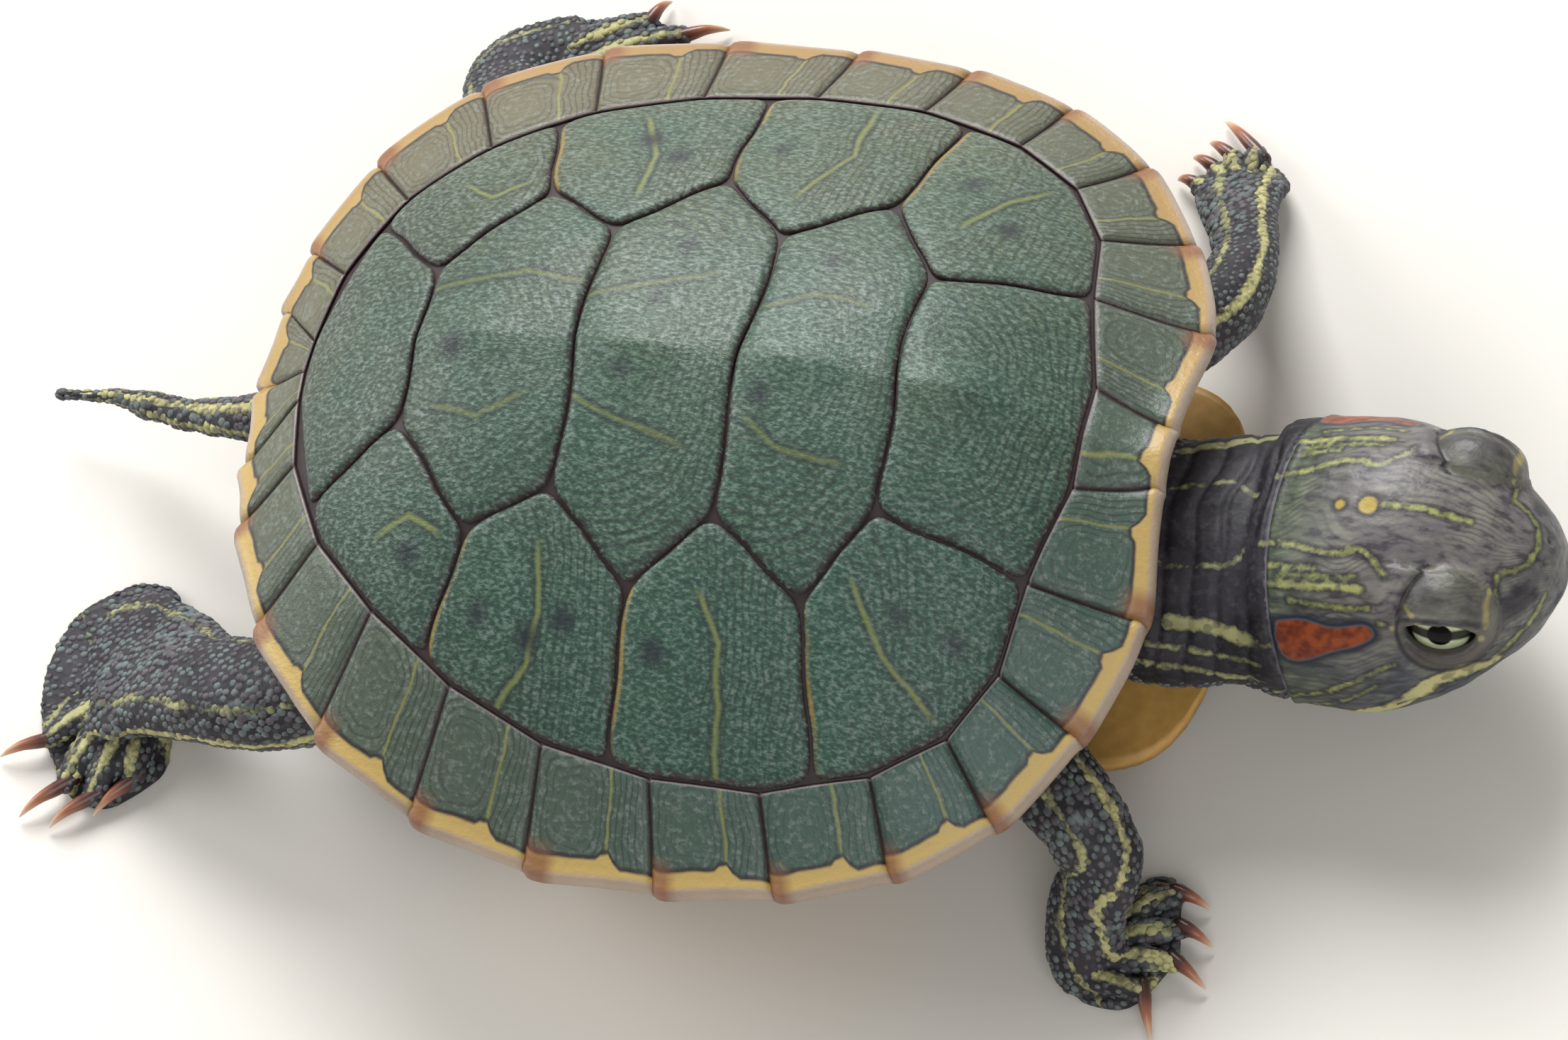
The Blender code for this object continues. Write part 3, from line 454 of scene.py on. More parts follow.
def rim_plate(start, end, inner_start, inner_end, sign, saw):
    """One plate as a grid, from its front seam to its rear one and from its inner seam round the rim."""
    wide = 26
    u = np.linspace(0, 1, wide)
    inner = seam_line(inner_start, inner_end, 0.1)
    pick = np.linspace(0, len(inner) - 1, wide)
    inner = np.column_stack([np.interp(pick, np.arange(len(inner)), inner[:, k]) for k in (0, 1)])
    turn = np.radians(start + (end - start) * u)
    tooth = saw * np.clip((u - 0.35) / 0.5, 0, 1) ** 1.6 * np.clip((1 - u) / 0.07, 0, 1) ** 0.5
    reach = rim_radius(turn) - ROLL * 0.9 + tooth
    rim = np.column_stack((reach * np.cos(turn), reach * np.sin(turn)))
    length = np.linalg.norm(np.diff(rim, axis=0), axis=1).sum()
    away = rim / np.linalg.norm(rim, axis=1)[:, None]
    points, marks = [], {key: [] for key in RIM_MARKS}
    depth = np.linalg.norm(rim - inner, axis=1)
    ends = np.minimum(u, 1 - u) * length
    sink = -RIM_GROOVE * np.exp(-np.maximum(ends - SEAM * 0.4, 0) / RIM_SLOPE)
    ahead, off = (BAR_AT - u) * length, (RINGS_AT - u) * length

    def row(plan, height, rimward, inward=FAR):
        """Adds a row of points, so far in from the rim and so far out from the inner seam."""
        points.append(np.column_stack((plan, height)))
        ring = (np.abs(off) ** 4 + np.abs((depth * 0.55 - rimward) * 0.85) ** 4) ** (1 / 4)
        for key, values in zip(RIM_MARKS, (np.minimum(ends, inward), ring, ahead, rimward, inward)):
            marks[key].append(np.broadcast_to(values, wide))

    for w in (0.0, 0.03, 0.07, 0.13, *np.linspace(0.22, 1, 12)):
        drawn = inner + (rim - inner) * (w + (1 - w) * SEAM / depth)[:, None]
        low = np.minimum(sink, -RIM_GROOVE * np.exp(-w * depth / RIM_SLOPE))
        row(drawn, dome(*drawn.T) + low + 0.3 * w ** 3, depth * (1 - w), w * depth)
    height = points[-1][:, 2]
    for bend in np.arange(1, 8) * math.pi / 7:
        row(rim + away * ROLL * math.sin(bend), height - ROLL * 1.3 * (1 - math.cos(bend)), -ROLL * bend)
    height = points[-1][:, 2]
    for share in (0.3, 0.65, 1.0):
        row(rim - away * LIP * share, height + 0.25 * share, -ROLL * math.pi - LIP * share)
    drawn = inner + (rim - inner) * 0.3
    row(drawn, dome(*drawn.T) - 0.5, -6.0)
    points = np.vstack(points)
    rows = len(points) // wide
    faces = net(rows, wide)
    first, last = [[r * wide + column for r in range(rows)] for column in (0, wide - 1)]
    faces += [tuple(first), tuple(last[::-1])]
    faces += [((rows - 1) * wide + k, (rows - 1) * wide + k + 1, k + 1, k) for k in range(wide - 1)]
    points[:, 1] *= sign
    return (points, turned_over(faces) if sign > 0 else faces,
            {key: np.concatenate(values) for key, values in marks.items()})


def join_meshes(parts):
    """One mesh of several, each given as points, faces and marks."""
    points, faces, marks, start = [], [], {}, 0
    for part_points, part_faces, part_marks in parts:
        points.append(part_points)
        faces += [tuple(index + start for index in face) for face in part_faces]
        for key, values in part_marks.items():
            marks.setdefault(key, []).append(values)
        start += len(part_points)
    return np.vstack(points), faces, {key: np.concatenate(values) for key, values in marks.items()}


# The same young horn as on the back, rubbed a little smoother by the water, so its sheen is brighter.
rim_horn, tree, shader, place = bare_finish("rim_horn", 0.42, 0.45)
edge, ring, ahead, rimward, inward = [
    node(tree, "ShaderNodeAttribute", attribute_name=key).outputs["Fac"] for key in RIM_MARKS]
# Grain 0.1 mm wide, and clouds 3 mm and 2 mm wide.
grain = node(tree, "ShaderNodeTexNoise", {"Vector": place, "Scale": 3600.0, "Detail": 3.0, "Roughness": 0.7})
cloud = node(tree, "ShaderNodeTexNoise", {"Vector": place, "Scale": 300.0, "Detail": 3.0})
waver = node(tree, "ShaderNodeTexNoise", {"Vector": place, "Scale": 520.0, "Detail": 2.0})
side, warm = warm_to(tree, place, 0.014, 0.01, 0.7)
warm = node(tree, "ShaderNodeMath", warm, 0.75, operation="MULTIPLY")
colour = node(tree, "ShaderNodeMixRGB", warm, "#37524A", "#5F5A44")
colour = coat(tree, colour, "#7C8680", grain, 0.5, 0.68, 0.55)
reach = node(tree, "ShaderNodeMapRange", ring, 0.5, 1.4, 0.25, 1.0)
colour = coat(tree, colour, "#262A2A", growth_rings(tree, ring, waver, 0.85, 0.27), 0.2, 0.9, 0.55, reach)
bar = node(tree, "ShaderNodeMath", waver, 0.5, ahead, operation="MULTIPLY_ADD")
colour = coat(tree, colour, "#8C8A44", apart(tree, bar, 0.25), 0.1, 0.02, 0.55)
colour = coat(tree, colour, "#3E3032", edge, 0.16, 0.04, 0.85)
colour = coat(tree, colour, "#8E7F80", apart(tree, inward, 0.09), 0.06, 0.02, 0.5)
# The yellow rim is widest where the bar joins it, and a dark line borders it.
flag = node(tree, "ShaderNodeMapRange", apart(tree, ahead), 0.0, 0.5, 0.34, 0.0)
behind = node(tree, "ShaderNodeMapRange", ahead, 0.2, -0.3, -0.12, 0.18)
flag = node(tree, "ShaderNodeMath", flag, behind, operation="ADD")
wide = node(tree, "ShaderNodeMath", waver, 0.3, flag, operation="MULTIPLY_ADD")
past = node(tree, "ShaderNodeMath", rimward, wide, operation="SUBTRACT")
colour = coat(tree, colour, "#2A2226", apart(tree, past, 0.14), 0.13, 0.04, 0.85)
cream = node(tree, "ShaderNodeMixRGB", side, "#B2985A", "#97794C")
colour = coat(tree, colour, cream, past, 0.12, 0.02)
# The outer face is pale, the underside yellow, and the rear corner brown.
pale = node(tree, "ShaderNodeMixRGB", cloud, "#B8A48E", "#84766C")
colour = coat(tree, colour, pale, rimward, -0.05, -0.22)
colour = coat(tree, colour, "#B98F42", rimward, -1.0, -1.3)
outer = node(tree, "ShaderNodeMapRange", rimward, 1.0, 0.2, 0.0, 0.8)
colour = coat(tree, colour, "#7C4E36", ahead, -2.0, -2.5, 1.0, outer)
join_finish(tree, shader, colour, grain, 0.5, 0.08)

RIM_PLATES, REAR_MIDDLE = 13, (-15.7, 0.0)
inner_corners = [*INNER.values(), CORNERS["m"], REAR_MIDDLE]
for word, sign in (("left", 1), ("right", -1)):
    parts = []
    for k in range(RIM_PLATES):
        saw = 0.12 + 0.24 * max(0, k - 3) / 9
        parts.append(rim_plate(*RIM_TURNS[k:k + 2], *inner_corners[k:k + 2], sign, saw))
    piece = add_piece("rim_plates_" + word, *join_meshes(parts))
    piece.data.materials.append(rim_horn)
    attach(piece, "root")
    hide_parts("carapace")
nuchal = rim_plate(-RIM_TURNS[0], RIM_TURNS[0], mirror(INNER[0]), INNER[0], 1, 0.0)
piece = add_piece("neck_plate", *nuchal)
piece.data.materials.append(rim_horn)
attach(piece, "root")
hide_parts("carapace")

# Skin --------------------------------------------------------------------------------------------
# One unbroken skin over head, neck, trunk, legs and tail. Each part is a row of rings along a smooth
# path, and all are fused into one surface, then worked: lids and sockets, beak, nostrils and folds.
SCALE_DEPTH = 0.12  # the skin lies this far inside the outer form, under its scales
HEAD_SIDE, NAPE = -0.3, 21.3  # where the head's middle line lies, a little to the right, and where it begins
HEAD_SQUARE = 0.86  # under 1 the head's rings are squarer than an oval
HEAD_ROWS = (  # distance from the nape, half width, crown, throat, level of greatest width
    (-0.6, 5.2, 9.2, 2.95, 5.4), (0.6, 5.4, 9.75, 2.8, 5.2), (2.0, 5.5, 10.25, 2.65, 5.1),
    (4.0, 5.5, 10.7, 2.6, 5.0), (5.8, 5.05, 10.55, 2.85, 5.3), (7.2, 4.45, 10.1, 3.2, 5.7),
    (8.5, 3.5, 9.6, 3.7, 6.1), (9.5, 2.65, 9.1, 4.2, 6.4), (10.2, 1.85, 8.65, 5.0, 6.75),
    (10.6, 1.1, 8.2, 5.6, 6.9), (10.8, 0.5, 7.6, 6.2, 6.95))
# Rings of neck, trunk, tail and legs: middle, half width and half height.
NECK_ROWS = ((9.0, -0.8, 7.0, 4.3, 3.5), (14.0, -1.2, 6.3, 4.7, 3.4), (17.0, -1.15, 5.9, 5.0, 3.25),
             (19.0, -0.85, 5.85, 5.05, 3.3), (22.3, -0.4, 5.85, 5.1, 3.4))
TRUNK_ROWS = ((-13.5, 0, 7.0, 5.0, 2.9), (-11.5, 0, 7.1, 8.2, 4.0), (-6.0, 0, 7.4, 10.8, 4.9),
              (0.0, 0, 7.5, 11.3, 5.1), (6.0, 0, 7.3, 10.8, 4.8), (11.5, 0, 7.1, 8.2, 3.8),
              (13.5, 0, 7.0, 5.5, 2.9))
TAIL_ROWS = ((-12.0, 0.2, 7.6, 2.3, 2.0), (-16.5, 0.5, 7.0, 1.5, 1.4), (-20.0, 0.9, 5.8, 1.0, 0.95),
             (-22.5, 1.4, 4.5, 0.75, 0.75), (-25.2, 2.2, 3.3, 0.62, 0.6), (-27.0, 2.6, 2.8, 0.38, 0.38),
             (-29.3, 2.73, 2.3, 0.27, 0.27))
LEGS = {  # arm: rings down to the palm; toes: root, end and claw tip; web: its outline from above
    "foreleg_right": dict(
        arm=((9.5, -6.5, 7.2, 2.3, 2.4), (12.8, -9.2, 6.6, 2.1, 2.0), (15.8, -11.8, 5.7, 1.75, 1.5),
             (16.6, -13.0, 4.6, 1.7, 1.2), (16.0, -14.0, 3.1, 1.7, 1.0), (15.8, -14.8, 2.0, 1.6, 0.9),
             (15.9, -15.4, 1.2, 1.6, 0.85), (16.2, -15.8, 0.6, 1.4, 0.7)),
        toes=(((16.6, -13.7, 0.8), (18.7, -12.2, 0.8), (19.8, -12.5, 0.3)),
              ((16.3, -14.5, 0.9), (19.2, -13.6, 0.8), (20.2, -14.0, 0.3)),
              ((16.2, -15.3, 1.0), (19.2, -15.0, 0.8), (20.3, -15.7, 0.3)),
              ((16.0, -16.0, 0.9), (18.2, -16.4, 0.8), (18.7, -18.0, 0.3)),
              ((16.8, -13.1, 0.5), (17.8, -12.1, 0.5), (18.5, -12.0, 0.3))),
        web=((15.5, -16.5), (15.6, -14.8), (16.4, -12.9), (17.3, -11.6), (18.5, -11.7),
             (18.7, -13.0), (18.9, -14.3), (18.4, -15.7), (17.3, -16.8))),
    "foreleg_left": dict(
        arm=((10.0, 4.5, 7.4, 2.3, 2.4), (14.0, 6.6, 7.0, 2.0, 1.9), (16.5, 9.4, 5.9, 1.7, 1.5),
             (16.8, 12.0, 4.6, 1.4, 1.2), (16.1, 14.1, 3.2, 1.4, 1.0), (15.4, 15.7, 2.1, 1.7, 0.9),
             (15.1, 16.6, 1.4, 1.9, 0.85), (15.0, 17.2, 0.8, 1.8, 0.8), (14.9, 17.8, 0.5, 1.5, 0.65)),
        toes=(((15.4, 17.0, 1.0), (15.2, 18.7, 0.9), (13.5, 20.2, 0.3)),
              ((14.9, 17.2, 0.9), (14.2, 18.5, 0.7), (13.1, 19.2, 0.3)),
              ((14.4, 17.0, 0.8), (13.6, 18.0, 0.6), (12.6, 18.5, 0.3)),
              ((14.0, 16.6, 0.8), (13.1, 17.2, 0.6), (12.2, 17.5, 0.3)),
              ((15.7, 17.2, 0.8), (15.7, 17.9, 0.7), (15.3, 19.1, 0.3))),
        web=((15.7, 16.3), (15.8, 17.4), (15.4, 18.5), (14.1, 18.2), (13.2, 17.2), (13.9, 16.0))),
    "hindleg_right": dict(
        arm=((-9.0, -6.0, 7.0, 2.9, 2.7), (-12.8, -9.0, 6.6, 2.7, 2.4), (-16.0, -10.3, 5.8, 2.4, 2.0),
             (-19.2, -9.9, 4.5, 2.35, 1.6), (-21.6, -8.9, 3.0, 2.9, 1.3), (-22.8, -8.5, 2.1, 3.2, 1.1),
             (-23.7, -8.1, 1.5, 3.4, 1.0), (-24.6, -7.95, 0.8, 3.4, 0.85), (-25.5, -7.95, 0.45, 3.0, 0.6)),
        toes=(((-24.3, -9.2, 1.0), (-26.6, -11.1, 0.7), (-28.5, -11.8, 0.3)),
              ((-24.0, -9.6, 1.0), (-25.5, -12.9, 0.7), (-27.1, -14.2, 0.3)),
              ((-23.4, -10.2, 0.9), (-24.3, -13.3, 0.7), (-25.8, -14.5, 0.3)),
              ((-22.9, -10.3, 0.8), (-22.9, -12.4, 0.6), (-24.2, -13.8, 0.3))),
        web=((-22.7, -7.4), (-23.0, -4.5), (-24.4, -3.9), (-25.9, -4.6), (-27.1, -5.9),
             (-27.6, -8.2), (-27.2, -10.2), (-26.4, -11.7), (-25.3, -13.1), (-23.9, -13.4),
             (-22.4, -12.3), (-21.9, -11.0))),
    "hindleg_left": dict(
        arm=((-8.5, 6.0, 7.0, 2.9, 2.7), (-10.5, 10.0, 6.2, 2.6, 2.3), (-12.4, 13.2, 4.9, 2.2, 1.8),
             (-13.8, 15.6, 3.6, 1.9, 1.4), (-14.3, 17.2, 2.6, 1.9, 1.1), (-14.5, 18.4, 1.7, 2.1, 1.0),
             (-13.8, 19.4, 0.9, 2.3, 0.95), (-12.3, 20.1, 0.55, 2.3, 0.7)),
        toes=(((-12.5, 20.5, 0.9), (-10.1, 22.0, 0.7), (-9.6, 23.2, 0.3)),
              ((-12.0, 19.9, 0.9), (-8.6, 21.5, 0.7), (-7.0, 22.2, 0.3)),
              ((-12.0, 19.4, 0.9), (-8.9, 20.2, 0.7), (-7.2, 20.6, 0.3)),
              ((-12.2, 18.9, 0.8), (-9.9, 18.9, 0.6), (-8.3, 18.9, 0.3))),
        web=((-15.0, 17.6), (-16.4, 18.6), (-16.5, 20.0), (-15.6, 21.1), (-13.5, 21.8),
             (-11.1, 22.3), (-9.2, 21.9), (-8.7, 20.4), (-9.9, 18.5), (-12.4, 17.6))),
}
TOE_SIZES = {"fore": (0.62, 0.56), "hind": (0.76, 0.6)}  # half width and half height at a toe's root
WEB_LEVELS = (-0.2, 0.42)  # underside, flattened on the ground later, and top


def smooth_rows(rows, steps=12):
    """Rows of numbers drawn out along a Catmull-Rom curve."""
    rows = np.array(rows, float)
    held = np.vstack((2 * rows[0] - rows[1], rows, 2 * rows[-1] - rows[-2]))
    t = (np.arange(steps) / steps)[:, None]
    pieces = [0.5 * (2 * b + (c - a) * t + (2 * a - 5 * b + 4 * c - d) * t ** 2
                     + (3 * b - a - 3 * c + d) * t ** 3)
              for a, b, c, d in zip(held, held[1:], held[2:], held[3:])]
    return np.vstack((*pieces, rows[-1:]))


def limb(name, rows, spacing=0.2):
    """Even places along a limb, each with its middle, directions, half width and half heights."""
    dense = smooth_rows(rows)
    run = np.concatenate(([0], np.cumsum(np.linalg.norm(np.diff(dense[:, :3], axis=0), axis=1))))
    place = np.linspace(0, run[-1], max(4, int(run[-1] / spacing) + 1))
    body = np.column_stack([np.interp(place, run, dense[:, k]) for k in range(dense.shape[1])])
    reach = min(0.5, run[-1] / 4)
    along = 0.0
    for way in (-1, 1):
        at = np.clip(place + way * reach, 0, run[-1])
        along += way * np.column_stack([np.interp(at, run, dense[:, k]) for k in range(3)])
    along /= np.linalg.norm(along, axis=1)[:, None]
    across = np.cross(along, (0.0, 0.0, 1.0))
    across /= np.linalg.norm(across, axis=1)[:, None]
    return dict(name=name, place=place, middle=body[:, :3], along=along, across=across,
                up=np.cross(across, along), wide=body[:, 3] - SCALE_DEPTH, tall=body[:, 4] - SCALE_DEPTH,
                deep=body[:, -1] - SCALE_DEPTH)


def tube(part, sides=32, squareness=1.0, blunt=1.0):
    """A closed body over the rings of a limb, rounded off at both ends."""
    turn = np.arange(sides) * math.tau / sides
    out, up = (np.sign(way) * np.abs(way) ** squareness for way in (np.cos(turn), np.sin(turn)))
    rings = []
    ends = ((0, 0.5, -0.75), (0, 0.85, -0.4), *((k, 1.0, 0.0) for k in range(len(part["place"]))),
            (-1, 0.85, 0.4), (-1, 0.5, 0.75))
    for k, share, past in ends:
        tall = np.where(up > 0, part["tall"][k], part["deep"][k])
        beyond = past / blunt * min(part["wide"][k], part["tall"][k])
        rings.append(part["middle"][k] + part["along"][k] * beyond
                     + np.outer(out * share * part["wide"][k], part["across"][k])
                     + np.outer(up * share * tall, part["up"][k]))
    return np.vstack(rings), turned_over(net(len(rings), sides, closed=True, caps=True)), {}


def slab(outline, low, high):
    """A flat body with a smooth outline, such as the web of a foot."""
    line = smooth_rows((*outline, *outline[:3]), 5)[5:5 + 5 * len(outline)]
    count = len(line)
    points = np.vstack([np.column_stack((line, np.full(count, z))) for z in (low, high)])
    return points, net(2, count, closed=True, caps=True), {}


def ball(middle, radius, sides=40):
    """A round body with the same number of sides each way."""
    pitch = np.linspace(-math.pi / 2, math.pi / 2, sides // 2)[1:-1]
    turn = np.arange(sides) * math.tau / sides
    points = np.vstack([np.column_stack((np.cos(p) * np.cos(turn), np.cos(p) * np.sin(turn),
                                         np.full(sides, np.sin(p)))) for p in pitch])
    faces = net(len(pitch), sides, closed=True, caps=True)
    return np.asarray(middle) + points * radius, faces, {}


def apply_changes(piece):
    """The piece's mesh as its modifiers leave it."""
    made = bpy.data.meshes.new_from_object(piece.evaluated_get(bpy.context.evaluated_depsgraph_get()))
    piece.modifiers.clear()
    return made


def mesh_points(mesh, kind="co"):
    """The mesh's points in millimetres from the shell's middle, or its normals."""
    values = np.zeros(len(mesh.vertices) * 3)
    mesh.vertices.foreach_get(kind, values)
    values = values.reshape(-1, 3)
    return (values - np.array(SHELL_MIDDLE)) / MM if kind == "co" else values


def head_limb():
    """The head as a limb that runs straight forward from the nape."""
    rows = smooth_rows(HEAD_ROWS)
    place = np.arange(rows[0, 0], rows[-1, 0], 0.15)
    body = np.column_stack([np.interp(place, rows[:, 0], rows[:, k]) for k in range(5)])
    count = len(place)
    return dict(name="head", place=place,
                middle=np.column_stack((NAPE + place, np.full(count, HEAD_SIDE), body[:, 4])),
                along=np.tile((1.0, 0, 0), (count, 1)), across=np.tile((0, -1.0, 0), (count, 1)),
                up=np.tile((0, 0, 1.0), (count, 1)), wide=body[:, 1],
                tall=body[:, 2] - body[:, 4], deep=body[:, 4] - body[:, 3])


EYE_RADIUS, LID_RADIUS, EYE_GAP = 1.65, 2.12, 0.06
EYE_HALF_LENGTH, EYE_HALF_HEIGHT = 1.36, 0.66
eyes = {}
for word, sign in (("left", 1), ("right", -1)):
    middle = np.array((EYE_PLACE[0], HEAD_SIDE + sign * (HEAD_SIDE - EYE_PLACE[1]), EYE_PLACE[2]))
    gaze = np.array((0.10, sign * 0.88, 0.45))
    gaze /= np.linalg.norm(gaze)
    front = np.array((1.0, 0, -0.06)) - gaze * gaze.dot((1.0, 0, -0.06))
    front /= np.linalg.norm(front)
    eyes[word] = dict(middle=middle, gaze=gaze, front=front, up=np.cross(front, gaze) * sign)

head = head_limb()
form = add_piece("head_form", *join_meshes([
    tube(head, 72, HEAD_SQUARE, blunt=6.0), *(ball(eye["middle"], LID_RADIUS) for eye in eyes.values())])[:2])
sockets, openings = [], []
for eye in eyes.values():
    sockets.append(ball(eye["middle"], EYE_RADIUS + EYE_GAP))
    t = np.arange(40) * math.tau / 40
    length = EYE_HALF_LENGTH * np.cos(t)
    height = EYE_HALF_HEIGHT * np.sign(np.sin(t)) * (1 - np.abs(np.cos(t)) ** 2.4) ** 0.75
    rings = [eye["middle"] + eye["gaze"] * depth + np.outer(length * grow, eye["front"])
             + np.outer(height * grow, eye["up"]) for depth, grow in ((0.6, 0.9), (1.5, 1.0), (2.6, 1.25))]
    faces = net(3, 40, closed=True, caps=True)
    if np.cross(eye["front"], eye["up"]) @ eye["gaze"] < 0:
        faces = turned_over(faces)
    openings.append((np.vstack(rings), faces, {}))
for cut in (sockets, openings):
    cutter = add_piece("cutter", *join_meshes(cut)[:2])
    change = form.modifiers.new("Cut", "BOOLEAN")
    change.operation, change.solver, change.use_self, change.object = "DIFFERENCE", "EXACT", True, cutter
    form.data = apply_changes(form)
    bpy.data.objects.remove(cutter)

limbs = [limb("neck", NECK_ROWS), limb("trunk", TRUNK_ROWS), limb("tail", TAIL_ROWS)]
parts = [tube(part) for part in limbs]
for name, leg in LEGS.items():
    limbs.append(limb(name, leg["arm"]))
    parts.append(tube(limbs[-1]))
    wide, tall = TOE_SIZES[name[:4]]
    for number, (root, end, tip) in enumerate(leg["toes"]):
        root, end = np.array(root), np.array(end)
        knuckle = root * 0.45 + end * 0.55 + (0, 0, 0.22)
        rows = ((*root, wide, tall), (*knuckle, wide * 0.95, tall), (*end, wide * 0.72, tall * 0.78))
        limbs.append(limb(f"{name}_toe_{number}", rows))
        parts.append(tube(limbs[-1], 20))
    parts.append(slab(leg["web"], *WEB_LEVELS))
points, faces, _ = join_meshes(parts)
start = len(points)
points = np.vstack((points, mesh_points(form.data)))
faces += [tuple(start + index for index in face.vertices) for face in form.data.polygons]
bpy.data.objects.remove(form)
skin = add_piece("skin", points, faces)
LUMP = 0.115  # the size of the lumps that the parts are fused from
fuse = skin.modifiers.new("Fuse", "REMESH")
fuse.mode, fuse.voxel_size = "VOXEL", LUMP * MM
ease = skin.modifiers.new("Ease", "SMOOTH")
ease.factor, ease.iterations = 0.5, 4
skin.data = mesh = apply_changes(skin)


def ripple(places, width, seed):
    """Soft random unevenness from about -1 to 1, in lumps of a given width in millimetres."""
    rng = np.random.default_rng(seed)
    total = np.zeros(len(places))
    for _ in range(7):
        way = rng.normal(size=3)
        way *= math.pi / width * rng.uniform(0.7, 1.4) / np.linalg.norm(way)
        total += np.sin(places @ way + rng.uniform(0, math.tau))
    return total / 3.5


def bell(values, width):
    """1 where values are 0, falling away to nothing past a width."""
    return np.exp(-(values / width) ** 2)


def lid_place(places, eye):
    """Places in front of an eye: forward along the lids, up across them, out, and from the middle."""
    step = places - eye["middle"]
    return step @ eye["front"], step @ eye["up"], step @ eye["gaze"], np.linalg.norm(step, axis=1)


def nape_fold(y):
    """How far forward the fold of skin lies that parts the neck from the head."""
    return NAPE + 0.1 + 0.85 * ((y - HEAD_SIDE) / 5.3) ** 2


MOUTH_BACK, MOUTH_RISE = (26.4, 5.0), 0.19  # the corner of the mouth, and how steeply it rises ahead
NOSTRILS = ((31.8, HEAD_SIDE - 0.45, 8.35), (31.8, HEAD_SIDE + 0.45, 8.35))
places = mesh_points(mesh)
normals = mesh_points(mesh, "normal")
x, y, z = places.T
fold_at = nape_fold(y)
gape = z - MOUTH_BACK[1] - MOUTH_RISE * (x - MOUTH_BACK[0])
snout = np.clip((x - MOUTH_BACK[0]) / 0.6, 0, 1) * (np.abs(normals[:, 2]) < 0.85)
push = snout * (0.07 * bell(gape - 0.3, 0.22) - 0.05 * bell(gape + 0.3, 0.25) - 0.15 * bell(gape, 0.09))
push += 0.07 * bell(x - fold_at - 0.25, 0.2) - 0.16 * bell(x - fold_at, 0.11)
neck_part = np.clip((x - 13) / 2, 0, 1) * (x < fold_at - 0.3) * (np.abs(y) < 6.2)
wrinkle = np.sin((x + 0.35 * ripple(places, 2.2, 3)) * math.tau / 1.15)
push -= 0.09 * neck_part * np.maximum(0, wrinkle) ** 3
push += 0.05 * ripple(places, 0.9, 5) * (x < fold_at) + 0.018 * ripple(places, 0.7, 6) * (x > fold_at)
for eye in eyes.values():
    ahead, above, out, far = lid_place(places, eye)
    facing = (out > 0.5) * (far < LID_RADIUS + 1.2)
    around = np.hypot(ahead / EYE_HALF_LENGTH, above / EYE_HALF_HEIGHT)
    push += facing * (0.07 * bell(around - 1.28, 0.2))
    # The upper lid runs up into the head, with a groove round the lids and a crease over the eye.
    push += facing * 0.3 * bell(far - LID_RADIUS - 0.35, 0.42) * np.clip(above / 0.9, 0, 1)
    push -= facing * 0.07 * bell(far - LID_RADIUS + 0.02, 0.09)
    crease = above - 1.05 + 0.3 * (ahead / EYE_HALF_LENGTH) ** 2
    push -= facing * 0.05 * bell(crease, 0.09) * (np.abs(ahead) < 1.7)
for spot in NOSTRILS:
    rim = places[np.argmin(np.linalg.norm(places - spot, axis=1))]
    push -= 0.3 * bell(np.linalg.norm(places - rim, axis=1), 0.15)
places = places + normals * push[:, None]
places[:, 2] = np.maximum(places[:, 2], 0.0)
mesh.vertices.foreach_set("co", (places * MM + np.array(SHELL_MIDDLE)).ravel())

# Fewer faces: most are taken from the skin that the shell hides, and fewest from the head.
SKIN_FACES = 190000
weights = skin.vertex_groups.new(name="plain")
hidden = (np.abs(x) < 12.5) & (np.abs(y) < 10.5) & (np.hypot(x, y) < 15)
for kind, share in ((hidden, 1.0), (~hidden & (x < 21), 0.55), (~hidden & (x >= 21), 0.4)):
    weights.add(np.flatnonzero(kind).tolist(), share, "REPLACE")
thin = skin.modifiers.new("Thin", "DECIMATE")
thin.vertex_group, thin.vertex_group_factor = "plain", 0.4
thin.ratio = min(1.0, SKIN_FACES / sum(len(face.vertices) - 2 for face in mesh.polygons))
skin.data = mesh = apply_changes(skin)
skin.vertex_groups.clear()
mesh.shade_smooth()


def locate(places, part):
    """Where places lie on a limb: how far along, at what angle round it, and how far out of it."""
    found = np.full((3, len(places)), 99.0)  # no place on the animal is as far as this from it
    reach = part["wide"].max() + 1.5
    near = np.all((places > part["middle"].min(0) - reach) & (places < part["middle"].max(0) + reach), 1)
    # About 20,000 places at a time, to save memory.
    for own in np.array_split(np.flatnonzero(near), 1 + near.sum() // 20000):
        chosen = places[own]
        k = ((chosen[:, None] - part["middle"]) ** 2).sum(2).argmin(1)
        step = chosen - part["middle"][k]
        ahead = (step * part["along"][k]).sum(1)
        out = (step * part["across"][k]).sum(1) / part["wide"][k]
        up = (step * part["up"][k]).sum(1)
        up = up / np.where(up > 0, part["tall"][k], part["deep"][k])
        past = np.maximum(0, np.abs(ahead) - 0.6) / part["wide"][k]
        found[:, own] = part["place"][k] + ahead, np.degrees(np.arctan2(up, out)), np.hypot(out, up) + past
    return found


